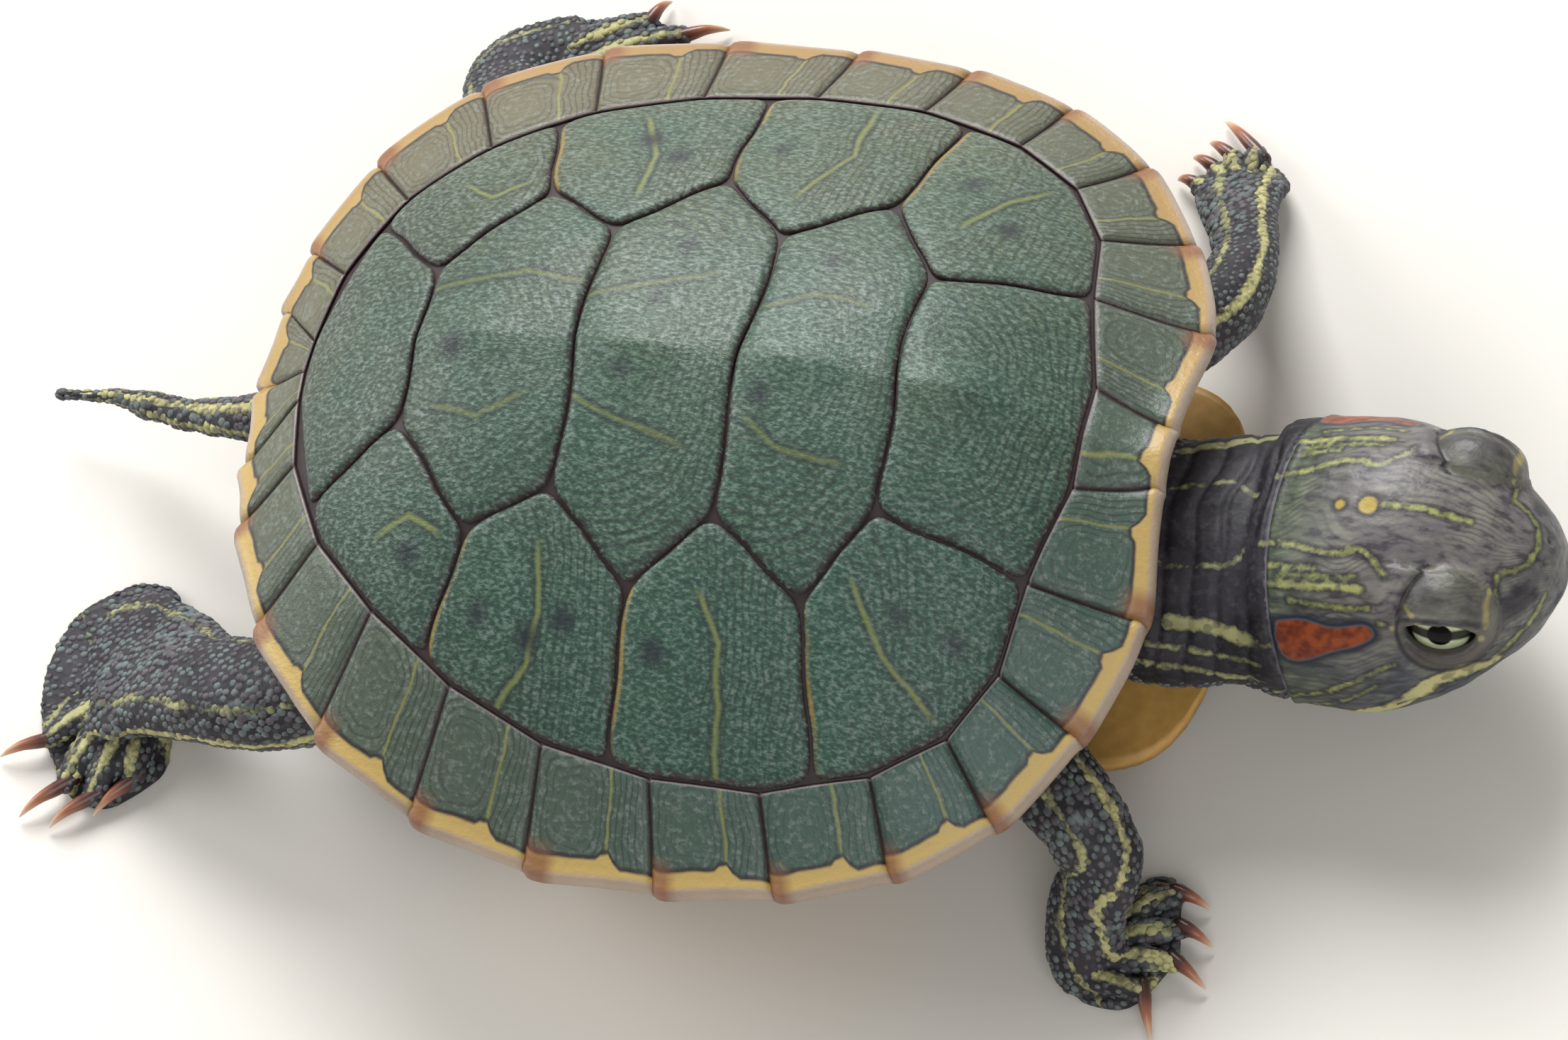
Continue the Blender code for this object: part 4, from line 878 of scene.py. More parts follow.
def on_limb(part, route, squareness=1.0):
    """A line over a limb through pairs of a distance along it and an angle round it."""
    route = smooth_rows(route, 6)
    place, turn = route[:, 0], np.radians(route[:, 1])
    mid, across, up = [np.column_stack([np.interp(place, part["place"], part[key][:, k]) for k in range(3)])
                       for key in ("middle", "across", "up")]
    wide, tall, deep = [np.interp(place, part["place"], part[key]) for key in ("wide", "tall", "deep")]
    out = np.sign(np.cos(turn)) * np.abs(np.cos(turn)) ** squareness * wide
    rise = np.sign(np.sin(turn)) * np.abs(np.sin(turn)) ** squareness * np.where(turn > 0, tall, deep)
    return mid + across * out[:, None] + up * rise[:, None]


# Stripes of head and neck: half width, then pairs of distance from the nape and angle round, where
# 0 is the right side and 90 the crown. Each is mirrored on the left.
HEAD_STRIPES = (
    (0.11, ((0.0, 78), (1.2, 77), (2.2, 74), (3.2, 73), (4.0, 75), (4.6, 70), (5.1, 65))),
    (0.09, ((0.4, 69), (1.3, 68), (2.3, 67))),
    (0.14, ((0.5, 61), (1.9, 60), (3.0, 60), (4.2, 59))),
    (0.08, ((1.4, 54), (3.2, 51), (4.5, 51))),
    (0.05, ((0.9, 65), (2.4, 64), (4.0, 64))),
    (0.12, ((5.0, 44), (5.2, 44))),
    (0.12, ((5.1, 64), (5.3, 63))),
    (0.07, ((5.7, 58), (6.5, 56))),
    (0.07, ((8.9, 63), (8.9, 50), (8.9, 40))),
    (0.08, ((9.0, 66), (9.4, 66), (9.9, 74), (10.1, 90))),
    (0.40, ((8.6, -9), (7.6, 4), (6.6, 5), (5.6, 0), (4.4, -8), (2.6, -18), (0.6, -26))),
    (0.10, ((5.4, 22), (4.5, 19), (3.5, 13), (2.1, 4), (0.6, 0))),
    (0.07, ((4.6, 12), (3.4, 4), (2.0, -5))),
    (0.10, ((10.4, 20), (10.0, 6), (9.0, 0), (8.0, -4))),
    (0.12, ((7.6, -30), (5.4, -38), (2.6, -44), (0.4, -46))),
    (0.12, ((6.8, -58), (4.0, -64), (0.8, -66))),
)
CROWN_STRIPE = (0.11, ((4.4, 90), (5.7, 91), (6.7, 91), (7.7, 91)))
NECK_STRIPES = (
    (0.30, ((17.6, 44), (18.5, 42), (19.5, 39), (20.4, 34), (21.3, 31), (22.0, 33))),
    (0.08, ((17.0, 72), (18.6, 70), (20.0, 70), (20.7, 77), (21.4, 79))),
    (0.13, ((15.5, 18), (18.0, 14), (19.5, 4), (21.5, 0))),
    (0.10, ((15.0, 32), (17.4, 30), (19.0, 24), (21.0, 16))),
    (0.16, ((15.0, -20), (18.0, -25), (21.5, -27))),
    (0.12, ((15.0, -45), (18.0, -47), (21.5, -46))),
    (0.12, ((15.0, -65), (18.0, -66), (21.5, -66))),
)
RED_PATCH = ((1.0, 44), (2.0, 45), (3.2, 42), (4.4, 43), (4.7, 38), (4.0, 34), (3.1, 31), (1.9, 25),
             (1.3, 27), (1.0, 37))
neck = limbs[0]
neck_start = neck["middle"][0, 0]


def both_sides(route):
    """A route over the right side, and its like over the left."""
    return route, tuple((place, 180 - turn) for place, turn in route)


places = mesh_points(mesh)
x, y, z = places.T
count = len(places)
pale, red, hue = np.full(count, FAR), np.full(count, FAR), np.zeros(count)
MARK_REACH = 1.6  # no mark on the skin reaches further from its line
lines = [(width, on_limb(head, side, HEAD_SQUARE))
         for width, route in HEAD_STRIPES for side in both_sides(route)]
lines.append((CROWN_STRIPE[0], on_limb(head, CROWN_STRIPE[1], HEAD_SQUARE)))
for width, route in NECK_STRIPES:
    route = tuple((place - neck_start, turn) for place, turn in route)
    lines += [(width, on_limb(neck, side)) for side in both_sides(route)]
for width, line in lines:
    off = from_line(places, line, MARK_REACH) - 0.85 * width
    tint = 1.0 if width > 0.25 and line[:, 0].mean() > NAPE else min(0.5, width / 0.3)
    hue = np.where(off < pale, tint, hue)
    pale = np.minimum(pale, off)
gold = np.full(count, FAR)
for at, radius in ((4.0, 0.36), (2.9, 0.2)):  # two round spots on the crown
    spot = on_limb(head, ((at, 90), (at + 0.02, 90)), HEAD_SQUARE)
    gold = np.minimum(gold, from_line(places, spot, MARK_REACH) - radius)
for route in both_sides(RED_PATCH):
    line = on_limb(head, (*route, route[0]), HEAD_SQUARE)
    middle = line.mean(0)
    off = from_line(places, line, MARK_REACH)
    # Inside the patch a place is nearer to its middle than the outline behind it is.
    spoke, rim = places - middle, line - middle
    rim_turn = np.arctan2(rim[:, 2], rim[:, 0])
    order = np.argsort(rim_turn)
    limit = np.interp(np.arctan2(spoke[:, 2], spoke[:, 0]), rim_turn[order],
                      np.hypot(rim[:, 0], rim[:, 2])[order], period=math.tau)
    inside = (np.hypot(spoke[:, 0], spoke[:, 2]) < limit) & (np.abs(spoke[:, 1]) < 2.0)
    red = np.minimum(red, np.where(inside, -off, off))

# Stripes of the limbs run along them at even angles: angle round, half width in millimetres.
LIMB_STRIPES = {
    "tail": ((90, 0.2), (20, 0.16), (160, 0.16), (-60, 0.2), (-120, 0.2)),
    "foreleg_right": ((132, 0.2), (66, 0.12), (-140, 0.2), (-40, 0.2)),
    "foreleg_left": ((48, 0.2), (114, 0.12), (-40, 0.2), (-140, 0.2)),
    "hindleg_right": ((130, 0.1), (40, 0.1), (178, 0.22), (-100, 0.2)),
    "hindleg_left": ((50, 0.1), (140, 0.1), (2, 0.22), (-80, 0.2)),
}
nearest, own = np.full(count, 90.0), np.zeros(count, int)
along, around = np.zeros(count), np.zeros(count)
headness = np.clip((x - nape_fold(y)) / 0.2, 0, 1)
for number, part in enumerate(limbs):
    place, turn, far = locate(places, part)
    better = far < nearest
    nearest, own = np.where(better, far, nearest), np.where(better, number, own)
    along, around = np.where(better, place, along), np.where(better, turn, around)
    girth = 0.5 * (part["wide"].mean() + part["tall"].mean())
    stripes = LIMB_STRIPES.get(part["name"], ((90, 0.15),) if "toe" in part["name"] else ())
    for turn_of, width in stripes:
        off = np.abs((turn - turn_of + 180) % 360 - 180) * math.pi / 180 * girth - width
        off += 0.05 * np.sin(place * 2.1 + turn_of)
        mine = better & (off < pale)
        pale, hue = np.where(mine, off, pale), np.where(mine, min(1.0, width / 0.22), hue)
place, turn, _ = locate(places, head)
on_head = headness > 0.5
along, around = np.where(on_head, place + 20, along), np.where(on_head, turn, around)
gape = z - MOUTH_BACK[1] - MOUTH_RISE * (x - MOUTH_BACK[0]) + FAR * (x < MOUTH_BACK[0])
lids, lid_bar, low_lid = np.full(count, FAR), np.full(count, FAR), np.zeros(count)
# Short pale bars on the lids, ahead of and above the middle of the eye: where each begins and ends.
LID_BARS = (((1.62, 1.2), (1.66, 0.35)), ((-1.3, 1.05), (-1.0, 0.85)), ((-0.8, 0.62), (-0.72, 0.58)),
            ((-1.75, 0.2), (-1.72, 0.15)), ((1.5, -0.1), (1.55, -0.2)))
for eye in eyes.values():
    ahead, above, out, far = lid_place(places, eye)
    near = (out > 0.2) & (far < LID_RADIUS + 0.5)
    lids = np.minimum(lids, np.where(out > 0.2, far, FAR))
    low_lid = np.where(near, np.clip(0.4 - above, 0, 1), low_lid)
    flat = np.column_stack((ahead, above, 0 * above))
    for bar in LID_BARS:
        line = np.array([(*end, 0.0) for end in bar])
        lid_bar = np.where(near, np.minimum(lid_bar, from_line(flat, line, MARK_REACH) - 0.06), lid_bar)
# Fine dark lines run between the stripes, over the head and down the neck.
flow = around / 3.6 + 0.6 * np.sin(along * 0.9) + 1.3 * ripple(places, 1.2, 9)

# The skin's own unwrap: a tile for each limb, with the top and the underside of a foot apart.
TILES = 5
foot = (z < 1.7) & ~on_head & (own > 2)
leg = np.array([[key in part["name"] for key in LEGS].index(True) + 1 if "leg" in part["name"] else 0
                for part in limbs])[own]
normals = mesh_points(mesh, "normal")
tile = np.where(on_head, 0, np.where(leg > 0, 3 + leg, 1 + np.minimum(own, 2)))
tile = np.where(foot, 8 + leg + 4 * (normals[:, 2] < 0), tile)
root_u, root_v = np.zeros(count), np.zeros(count)
for number in np.unique(tile):
    chosen = tile == number
    pair = np.column_stack((x, y) if number > 8 else (along, around))[chosen]
    low, high = pair.min(0), pair.max(0)
    share = 0.04 + 0.92 * (pair - low) / np.maximum(high - low, 1e-6)
    root_u[chosen] = (number % TILES + share[:, 0]) / TILES
    root_v[chosen] = (number // TILES + share[:, 1]) / TILES

scale_size = np.where(own == 0, 0.15, 0.185)  # half a scale's width, smaller on the neck
scale_size = np.where(foot, 0.17, scale_size) * (1 + 0.25 * ripple(places, 2.0, 12))
# No scales grow on the head, the folded top of the neck, the soles, or under the shell.
bare = on_head | ((own == 0) & (x > 16.9) & (z > 5.6)) | (z < 0.12)
bare |= (np.abs(x) < 11.5) & (np.abs(y) < 9.5)
crown = np.clip((z - 6.2) / 3.2, 0, 1)
nape = np.clip(1 - (place - 0.4) / 3.0, 0, 1)
smear = np.full(count, FAR)
# Two short lines make a dark smudge between the eye and the nostril.
for route in (((8.7, 30), (9.3, 38), (9.8, 48)), ((8.7, 30), (9.5, 30), (10.0, 38))):
    for side in both_sides(route):
        smear = np.minimum(smear, from_line(places, on_limb(head, side, HEAD_SQUARE), MARK_REACH) - 0.2)
# The skin is painted by the first of these and paved with scales by the others.
marks = {"lid_bar": lid_bar, "low_lid": low_lid, "crown": crown, "nape": nape, "smear": smear, "pale": pale,
         "red": red, "gold": gold, "hue": hue, "headness": headness, "lids": lids, "gape": gape, "flow": flow}
paving_marks = {"scale_size": scale_size, "density": np.where(bare, 0.0, 1.0), "root_u": root_u,
                "root_v": root_v}
for name, values in (marks | paving_marks).items():
    mesh.attributes.new(name, "FLOAT", "POINT").data.foreach_set("value", values.astype(np.float32))
lie = np.vstack([part["along"].mean(0) for part in limbs])[own].ravel().astype(np.float32)
mesh.attributes.new("lie", "FLOAT_VECTOR", "POINT").data.foreach_set("vector", lie)


def marked_skin(name, scaly):
    """Dark hide with pale stripes and a red patch, dry and dull on the body and moist on the head."""
    made, tree, shader, place = bare_finish(name, 0.5, 0.35)
    at = {key: node(tree, "ShaderNodeAttribute", attribute_name=key).outputs["Fac"] for key in marks}
    # Grain 0.12 mm, beads 0.2 mm and clouds 1.5 mm wide.
    grain = node(tree, "ShaderNodeTexNoise", {"Vector": place, "Scale": 3200.0, "Detail": 3.0})
    beads = node(tree, "ShaderNodeTexNoise", {"Vector": place, "Scale": 2200.0, "Detail": 1.0})
    cloud = node(tree, "ShaderNodeTexNoise", {"Vector": place, "Scale": 520.0, "Detail": 3.0})
    dark, light, dust = ("#322D34", "#4D474C", "#5B6460") if scaly else ("#17151B", "#2B282E", "#4E4D52")
    body = coat(tree, dark, light, cloud, 0.4, 0.62)
    if scaly:
        body = coat(tree, body, "#6F7D7C", beads, 0.42, 0.62, 0.7)
        body = coat(tree, body, "#5F5860", beads, 0.48, 0.36, 0.6)
    body = coat(tree, body, dust, grain, 0.5, 0.7, 0.4)
    top = coat(tree, "#3D444B", "#5F5B5D", at["crown"], 0.2, 0.9)
    top = coat(tree, top, "#77756A", cloud, 0.4, 0.62, 0.5)
    moss = node(tree, "ShaderNodeMixRGB", cloud, "#34402F", "#4F5C42")
    top = node(tree, "ShaderNodeMixRGB", at["nape"], top, moss)
    # Short pale and dark flecks lie along the head, 0.1 mm wide.
    lie = node(tree, "ShaderNodeMapping", place, {"Scale": (0.35, 1.0, 1.0)})
    fleck = node(tree, "ShaderNodeTexNoise", {"Vector": lie, "Scale": 3000.0, "Detail": 3.0})
    top = coat(tree, top, "#7F8273", fleck, 0.52, 0.68, 0.45)
    top = coat(tree, top, "#2A2730", fleck, 0.48, 0.34, 0.75)
    colour = node(tree, "ShaderNodeMixRGB", at["headness"], body, top)
    # Fine dark lines between the stripes.
    turn = node(tree, "ShaderNodeMath", at["flow"], math.tau, operation="MULTIPLY")
    wave = node(tree, "ShaderNodeMath", turn, operation="SINE")
    on_head = node(tree, "ShaderNodeMapRange", at["headness"], 0.0, 1.0, 0.4, 1.0)
    clouded = node(tree, "ShaderNodeMapRange", cloud, 0.38, 0.58, 0.0, 1.0)
    colour = coat(tree, colour, "#272330", wave, 0.0, 0.9, 0.42, on_head, clouded)
    # Each stripe is edged with dark, then pale and broken into beads by the grain.
    on_head = node(tree, "ShaderNodeMapRange", at["headness"], 0.0, 1.0, 0.7, 1.0)
    colour = coat(tree, colour, "#1B1A22", at["pale"], 0.22, 0.05, 0.75, on_head)
    green = node(tree, "ShaderNodeMixRGB", at["headness"], "#7F8660", "#79863F")
    yellow = node(tree, "ShaderNodeMixRGB", at["hue"], green, "#BDB880")
    worn = node(tree, "ShaderNodeMath", grain, 0.36, at["pale"], operation="MULTIPLY_ADD")
    clouded = node(tree, "ShaderNodeMapRange", cloud, 0.36, 0.5, 0.65, 1.0)
    beaded = node(tree, "ShaderNodeMapRange", beads, 0.38, 0.46, 0.55, 1.0)
    colour = coat(tree, colour, yellow, worn, 0.25, 0.1, 0.9, clouded, beaded)
    # The crown's gold spots, the pale fold at the nape, and the red patch edged in blue-black.
    ruddy = coat(tree, "#60240E", "#8C4018", beads, 0.38, 0.62)
    for paint, mark, none, full, strength in (
            ("#2A2626", at["gold"], 0.24, 0.08, 0.8), ("#9C8636", at["gold"], 0.04, -0.06, 1.0),
            ("#857D8D", apart(tree, at["headness"], 0.35), 0.32, 0.1, 0.55),
            ("#1E2230", at["red"], 0.42, 0.16, 0.95), ("#7E8C92", at["red"], 0.1, 0.02, 0.25),
            (ruddy, at["red"], 0.04, -0.04, 1.0)):
        colour = coat(tree, colour, paint, mark, none, full, strength)
    # Lids are olive grey over purple brown, with pale bars and a dark ring. Then smudge and mouth.
    olive = node(tree, "ShaderNodeMixRGB", grain, "#43453A", "#6E6F5E")
    colour = coat(tree, colour, olive, at["lids"], 2.3, 2.1, 0.7)
    colour = coat(tree, colour, "#3C3038", at["lids"], 2.3, 2.1, 0.6, at["low_lid"])
    worn = node(tree, "ShaderNodeMath", grain, 0.2, at["lid_bar"], operation="MULTIPLY_ADD")
    for paint, mark, none, full, strength in (
            ("#A39A5C", worn, 0.18, 0.08, 0.7),
            ("#1C1A20", apart(tree, at["lids"], 2.27), 0.12, 0.03, 0.85),
            ("#25232C", at["smear"], 0.25, -0.1, 0.75),
            ("#211B1C", apart(tree, at["gape"]), 0.12, 0.04, 0.9)):
        colour = coat(tree, colour, paint, mark, none, full, strength)
    rough = node(tree, "ShaderNodeMapRange", at["headness"], 0.0, 1.0, 0.56, 0.4)
    join_finish(tree, shader, colour, grain, 0.45, 0.06, rough)
    return made


skin.data.materials.append(marked_skin("wet_turtle_skin", False))
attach(skin, "root")
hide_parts("head", "jaw", "neck", "trunk", "tail")
for name in LEGS:
    for word in ("upper", "forearm", "foot") if name.startswith("fore") else ("thigh", "shank", "foot"):
        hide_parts(name + "_" + word)

# Scales ------------------------------------------------------------------------------------------
# Small raised scales pave the limbs, neck and tail, close together and longer along the limb. Each
# takes the skin's own colour at its root, so a stripe is a row of beads.
SCALE_GAP = 0.255  # least distance between the middles of two scales

turn = np.arange(6) * math.tau / 6  # a scale is a low six-sided knob
outline = np.column_stack((np.cos(turn), np.sin(turn)))
points = np.vstack([np.column_stack((outline * share, np.full(6, height)))
                    for share, height in ((1.0, -0.25), (0.6, 0.25))] + [(0, 0, 0.34)])
faces = net(2, 6, closed=True) + [(6 + k, 6 + (k + 1) % 6, 12) for k in range(6)] + [tuple(range(6))[::-1]]
one_scale = add_piece("one_scale", points * (1.25, 1.0, 1.0), faces,
                      {"out_x": points[:, 0], "out_y": points[:, 1]})
one_scale.data.transform(Matrix.Translation(-SHELL_MIDDLE))
one_scale.data.transform(Matrix.Scale(1 / MM, 4))
scale_skin = marked_skin("beaded_turtle_scale", True)

paving = bpy.data.node_groups.new("paving_of_scales", "GeometryNodeTree")
for name, kind, way in (("Skin", "NodeSocketGeometry", "INPUT"), ("Scale", "NodeSocketObject", "INPUT"),
                        ("Gap", "NodeSocketFloat", "INPUT"), ("End", "NodeSocketFloat", "INPUT"),
                        ("Scales", "NodeSocketGeometry", "OUTPUT")):
    paving.interface.new_socket(name, in_out=way, socket_type=kind)
given = node(paving, "NodeGroupInput").outputs
from_skin = {name: node(paving, "GeometryNodeInputNamedAttribute", {"Name": name}, data_type=kind)
             for name, kind in (("density", "FLOAT"), ("scale_size", "FLOAT"), ("lie", "FLOAT_VECTOR"))}
where = node(paving, "ShaderNodeSeparateXYZ", node(paving, "GeometryNodeInputPosition"))
at_end = node(paving, "ShaderNodeMath", where, given["End"], operation="MULTIPLY")
at_end = node(paving, "ShaderNodeMath", at_end, 0.0, operation="GREATER_THAN")
share = node(paving, "ShaderNodeMath", at_end, from_skin["density"], operation="MULTIPLY")
# At most 30 scales grow on a square millimetre, and none nearer to another than the gap.
spread = node(paving, "GeometryNodeDistributePointsOnFaces", {
    "Mesh": given["Skin"], "Distance Min": given["Gap"], "Density Max": 3.0e7, "Density Factor": share,
    "Seed": 7}, distribute_method="POISSON")
turned = node(paving, "FunctionNodeAlignRotationToVector", {
    "Rotation": spread.outputs["Rotation"], "Vector": from_skin["lie"]}, axis="X", pivot_axis="Z")
chance = node(paving, "FunctionNodeRandomValue", {"Min": 0.8, "Max": 1.15, "Seed": 3}, data_type="FLOAT")
size = node(paving, "ShaderNodeMath", from_skin["scale_size"], chance.outputs["Value"], operation="MULTIPLY")
size = node(paving, "ShaderNodeMath", size, MM, operation="MULTIPLY")
shape = node(paving, "GeometryNodeObjectInfo", {"Object": given["Scale"]})
laid = node(paving, "GeometryNodeInstanceOnPoints", {
    "Points": spread.outputs["Points"], "Instance": shape.outputs["Geometry"],
    "Rotation": turned, "Scale": size})
real = node(paving, "GeometryNodeRealizeInstances", laid)
dressed = node(paving, "GeometryNodeSetMaterial", {"Geometry": real, "Material": scale_skin})
node(paving, "NodeGroupOutput", dressed)
inputs = {item.name: item.identifier for item in paving.interface.items_tree if item.in_out == "INPUT"}


def kept_values(mesh, name):
    """The values that a mesh keeps at its points under a name."""
    values = np.zeros(len(mesh.vertices))
    mesh.attributes[name].data.foreach_get("value", values)
    return values


for word, end in (("front", 1.0), ("rear", -1.0)):
    laying = skin.modifiers.new("Paving", "NODES")
    laying.node_group = paving
    laying[inputs["Scale"]], laying[inputs["Gap"]], laying[inputs["End"]] = one_scale, SCALE_GAP * MM, end
    paved = apply_changes(skin)
    # Each scale is a patch 0.003 across, at its root's place on the skin's unwrap.
    corner = np.zeros(len(paved.loops), int)
    paved.loops.foreach_get("vertex_index", corner)
    spot = np.column_stack([kept_values(paved, root) + 0.0015 * kept_values(paved, out)
                            for root, out in (("root_u", "out_x"), ("root_v", "out_y"))])[corner]
    paved.uv_layers.new(name="OFBake").data.foreach_set("uv", spot.ravel().astype(np.float32))
    places = np.zeros(3 * len(paved.vertices))
    paved.vertices.foreach_get("co", places)
    places[2::3] = np.maximum(places[2::3], 0)
    paved.vertices.foreach_set("co", places)
    paved.shade_smooth()
    piece = bpy.data.objects.new("scales_" + word, paved)
    bpy.context.scene.collection.objects.link(piece)
    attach(piece, "root")
bpy.data.objects.remove(one_scale)

# Eyes --------------------------------------------------------------------------------------------
# A wet ball in each socket: pale green iris, round pupil, and the dark bar that crosses both.
# Clear and wet, so it has the one sharp glint, with fine streaks 0.07 mm wide in the iris.
wet_eye, tree, shader, place = bare_finish("wet_eye", 0.14, 0.1, 0.05)
shader.inputs["Coat Roughness"].default_value = 0.05
look, above = [node(tree, "ShaderNodeAttribute", attribute_name=key).outputs["Fac"]
               for key in ("look", "above")]
streaks = node(tree, "ShaderNodeTexNoise", {"Vector": place, "Scale": 5200.0, "Detail": 2.0})
colour = node(tree, "ShaderNodeMixRGB", streaks, "#9DAA84", "#D3D9B8")
colour = coat(tree, colour, "#20201E", look, 0.98, 1.1)
colour = coat(tree, colour, "#050506", look, 0.5, 0.44)
colour = coat(tree, colour, "#0D0C0C", apart(tree, above), 0.26, 0.16, 0.95)
tree.links.new(colour.outputs[0], shader.inputs["Base Color"])
for word, eye in eyes.items():
    points, faces, _ = ball(eye["middle"], EYE_RADIUS, 64)
    ahead, above, out, _ = lid_place(points, eye)
    look = np.where(out > 0, np.hypot(ahead, above), 2.0)
    piece = add_piece("eyeball_" + word, points, faces, {"look": look, "above": above})
    piece.data.materials.append(wet_eye)
    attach(piece, "root")
    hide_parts("eye_" + word)

# Claws -------------------------------------------------------------------------------------------
# A curved horn claw grows out of each toe, dark and brown at its root and clear at its sharp tip.
# Hard solid horn, smoother than the shell's, with a grain 0.1 mm wide and a clear shine along its back.
claw_horn, tree, shader, place = bare_finish("claw_horn", 0.3, 0.5)
share = node(tree, "ShaderNodeAttribute", attribute_name="share").outputs["Fac"]
tint = node(tree, "ShaderNodeValToRGB", share)
for at in (0.3, 0.6, 0.85):
    tint.color_ramp.elements.new(at)
for stop, paint in zip(tint.color_ramp.elements, ("#2E1D1C", "#54302A", "#9A6248", "#C9A284", "#D8C9B4")):
    stop.color = linear(paint)
grain = node(tree, "ShaderNodeTexNoise", {"Vector": place, "Scale": 4000.0})
join_finish(tree, shader, tint, grain, 0.2, 0.05)
# How far along the claw, how far up and how thick it is there.
CLAW_ROWS = ((-0.25, 0.0, 0.26), (0.15, 0.14, 0.27), (0.5, 0.26, 0.2), (0.8, 0.16, 0.12), (1.0, -0.02, 0.04))
for name, leg in LEGS.items():
    parts = []
    for root, end, tip in leg["toes"]:
        root, end, tip = np.array(root), np.array(end), np.array(tip)
        rows = [(*(end * (1 - at) + tip * at + (0, 0, lift)), width + SCALE_DEPTH, 1.15 * width + SCALE_DEPTH)
                for at, lift, width in CLAW_ROWS]
        part = limb("claw", rows, 0.09)
        points, faces, _ = tube(part, 12)
        points[:, 2] = np.maximum(points[:, 2], 0.0)
        share = np.repeat(np.pad(part["place"] / part["place"][-1], 2, "edge"), 12)
        parts.append((points, faces, {"share": share}))
    piece = add_piece("claws_" + name, *join_meshes(parts))
    piece.data.materials.append(claw_horn)
    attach(piece, "root")
    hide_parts(name + "_foot")

# Underside ---------------------------------------------------------------------------------------
# The plastron: six pairs of horn plates over a bony plate, of which the middle two pairs run up the
# bridges to the rim. Mustard yellow, with a dark smoky blotch on each, and a soft sheen.
BELLY, BELLY_DEEP, BELLY_TURN = 1.3, 0.9, 9.0
BRIDGE_WIDE, BRIDGE_RISE, BRIDGE_CURVE = 7.0, 6.1, 1.27
BRIDGE_OUT = BELLY_TURN + (BRIDGE_WIDE + BRIDGE_RISE) / BRIDGE_CURVE
BELLY_FRONT, BELLY_REAR, BRIDGE_ENDS = 18.55, -15.55, (-7.4, 7.2)


def on_belly(plan):
    """Places on the belly, from places forward and out along its face, and the way out of it."""
    x, out = plan[:, 0], np.abs(plan[:, 1])
    side = np.where(plan[:, 1] < 0, -1.0, 1.0)
    bend = np.clip((out - BELLY_TURN) / (BRIDGE_WIDE + BRIDGE_RISE) * BRIDGE_CURVE, 0, 1) * math.pi / 2
    y = np.where(out < BELLY_TURN, out, BELLY_TURN + BRIDGE_WIDE * np.sin(bend))
    z = BELLY + BRIDGE_RISE * (1 - np.cos(bend))
    way = np.column_stack((np.zeros(len(x)), side * BRIDGE_RISE * np.sin(bend), -BRIDGE_WIDE * np.cos(bend)))
    return np.column_stack((x, side * y, z)), way / np.linalg.norm(way, axis=1)[:, None]


def belly_reach(x):
    """How far out the belly reaches, along its face."""
    front = np.clip((x - BRIDGE_ENDS[1]) / (BELLY_FRONT - BRIDGE_ENDS[1]), 0, 1)
    rear = np.clip((BRIDGE_ENDS[0] - x) / (BRIDGE_ENDS[0] - BELLY_REAR), 0, 1)
    lobe = np.where(x > 0, 8.3 * (1 - front ** 8) ** 0.4, 7.0 * (1 - rear ** 4) ** 0.5)
    past = np.maximum(0, np.maximum(x - BRIDGE_ENDS[1], BRIDGE_ENDS[0] - x))
    return lobe + (BRIDGE_OUT - lobe) * np.clip(1 - past / 1.6, 0, 1)


rows = np.concatenate((BELLY_REAR + np.array((0.02, 0.2, 0.6)), np.linspace(-14.4, 17.3, 64),
                       BELLY_FRONT - np.array((0.8, 0.4, 0.15, 0.02))))
shares = np.linspace(-1, 1, 49)
plan = np.array([(x, share * (belly_reach(x) - 0.12)) for x in rows for share in shares])
where, way = on_belly(plan)
outer, inner_face = where - way * HORN, where - way * BELLY_DEEP
count, wide = len(rows), len(shares)
faces = net(count, wide)
faces += [tuple(index + count * wide for index in face) for face in turned_over(faces)]
border = [*range(wide), *range(2 * wide - 1, count * wide, wide),
          *range(count * wide - 2, (count - 1) * wide - 1, -1), *range((count - 2) * wide, 0, -wide)]
faces += [(b, a, a + count * wide, b + count * wide) for a, b in zip(border, border[1:] + border[:1])]
core = add_piece("belly_core", np.vstack((outer, inner_face)), faces)
# Bone and worn horn at the plates' edges: yellow, dull and grained 0.2 mm wide. The yellow is partly their
# own colour and partly painted light: it is made paler to make up for the shade that the shell casts on them.
belly_bone_painted_light, tree, shader, place = bare_finish("belly_bone_painted_light", 0.5)
grain = node(tree, "ShaderNodeTexNoise", {"Vector": place, "Scale": 1800.0, "Detail": 3.0})
# Both yellows are paler than the bone's own colour: painted light where the shell shades the belly's core.
colour = node(tree, "ShaderNodeMixRGB", grain, "#B08440", "#DDB064")
tree.links.new(colour.outputs[0], shader.inputs["Base Color"])
core.data.materials.append(belly_bone_painted_light)
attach(core, "root")
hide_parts("plastron", "bridge_left", "bridge_right")

# Thin horn worn smooth by the ground, so it is the shiniest of the shell. Grain 0.15 mm, clouds 2 mm.
belly_horn, tree, shader, place = bare_finish("belly_horn", 0.38, 0.45)
edge, ring = [node(tree, "ShaderNodeAttribute", attribute_name=key).outputs["Fac"]
              for key in ("edge", "ring")]
grain = node(tree, "ShaderNodeTexNoise", {"Vector": place, "Scale": 2600.0, "Detail": 3.0})
cloud = node(tree, "ShaderNodeTexNoise", {"Vector": place, "Scale": 420.0, "Detail": 4.0})
colour = node(tree, "ShaderNodeMixRGB", cloud, "#8A6A30", "#B08C46")
bent = node(tree, "ShaderNodeMath", cloud, 2.6, ring, operation="MULTIPLY_ADD")
colour = coat(tree, colour, "#2C2622", bent, 3.7, 3.1, 0.9)
colour = coat(tree, colour, "#8F7A44", bent, 2.2, 1.9, 0.75)
colour = coat(tree, colour, "#6A4A2C", edge, 0.3, 0.08, 0.7)
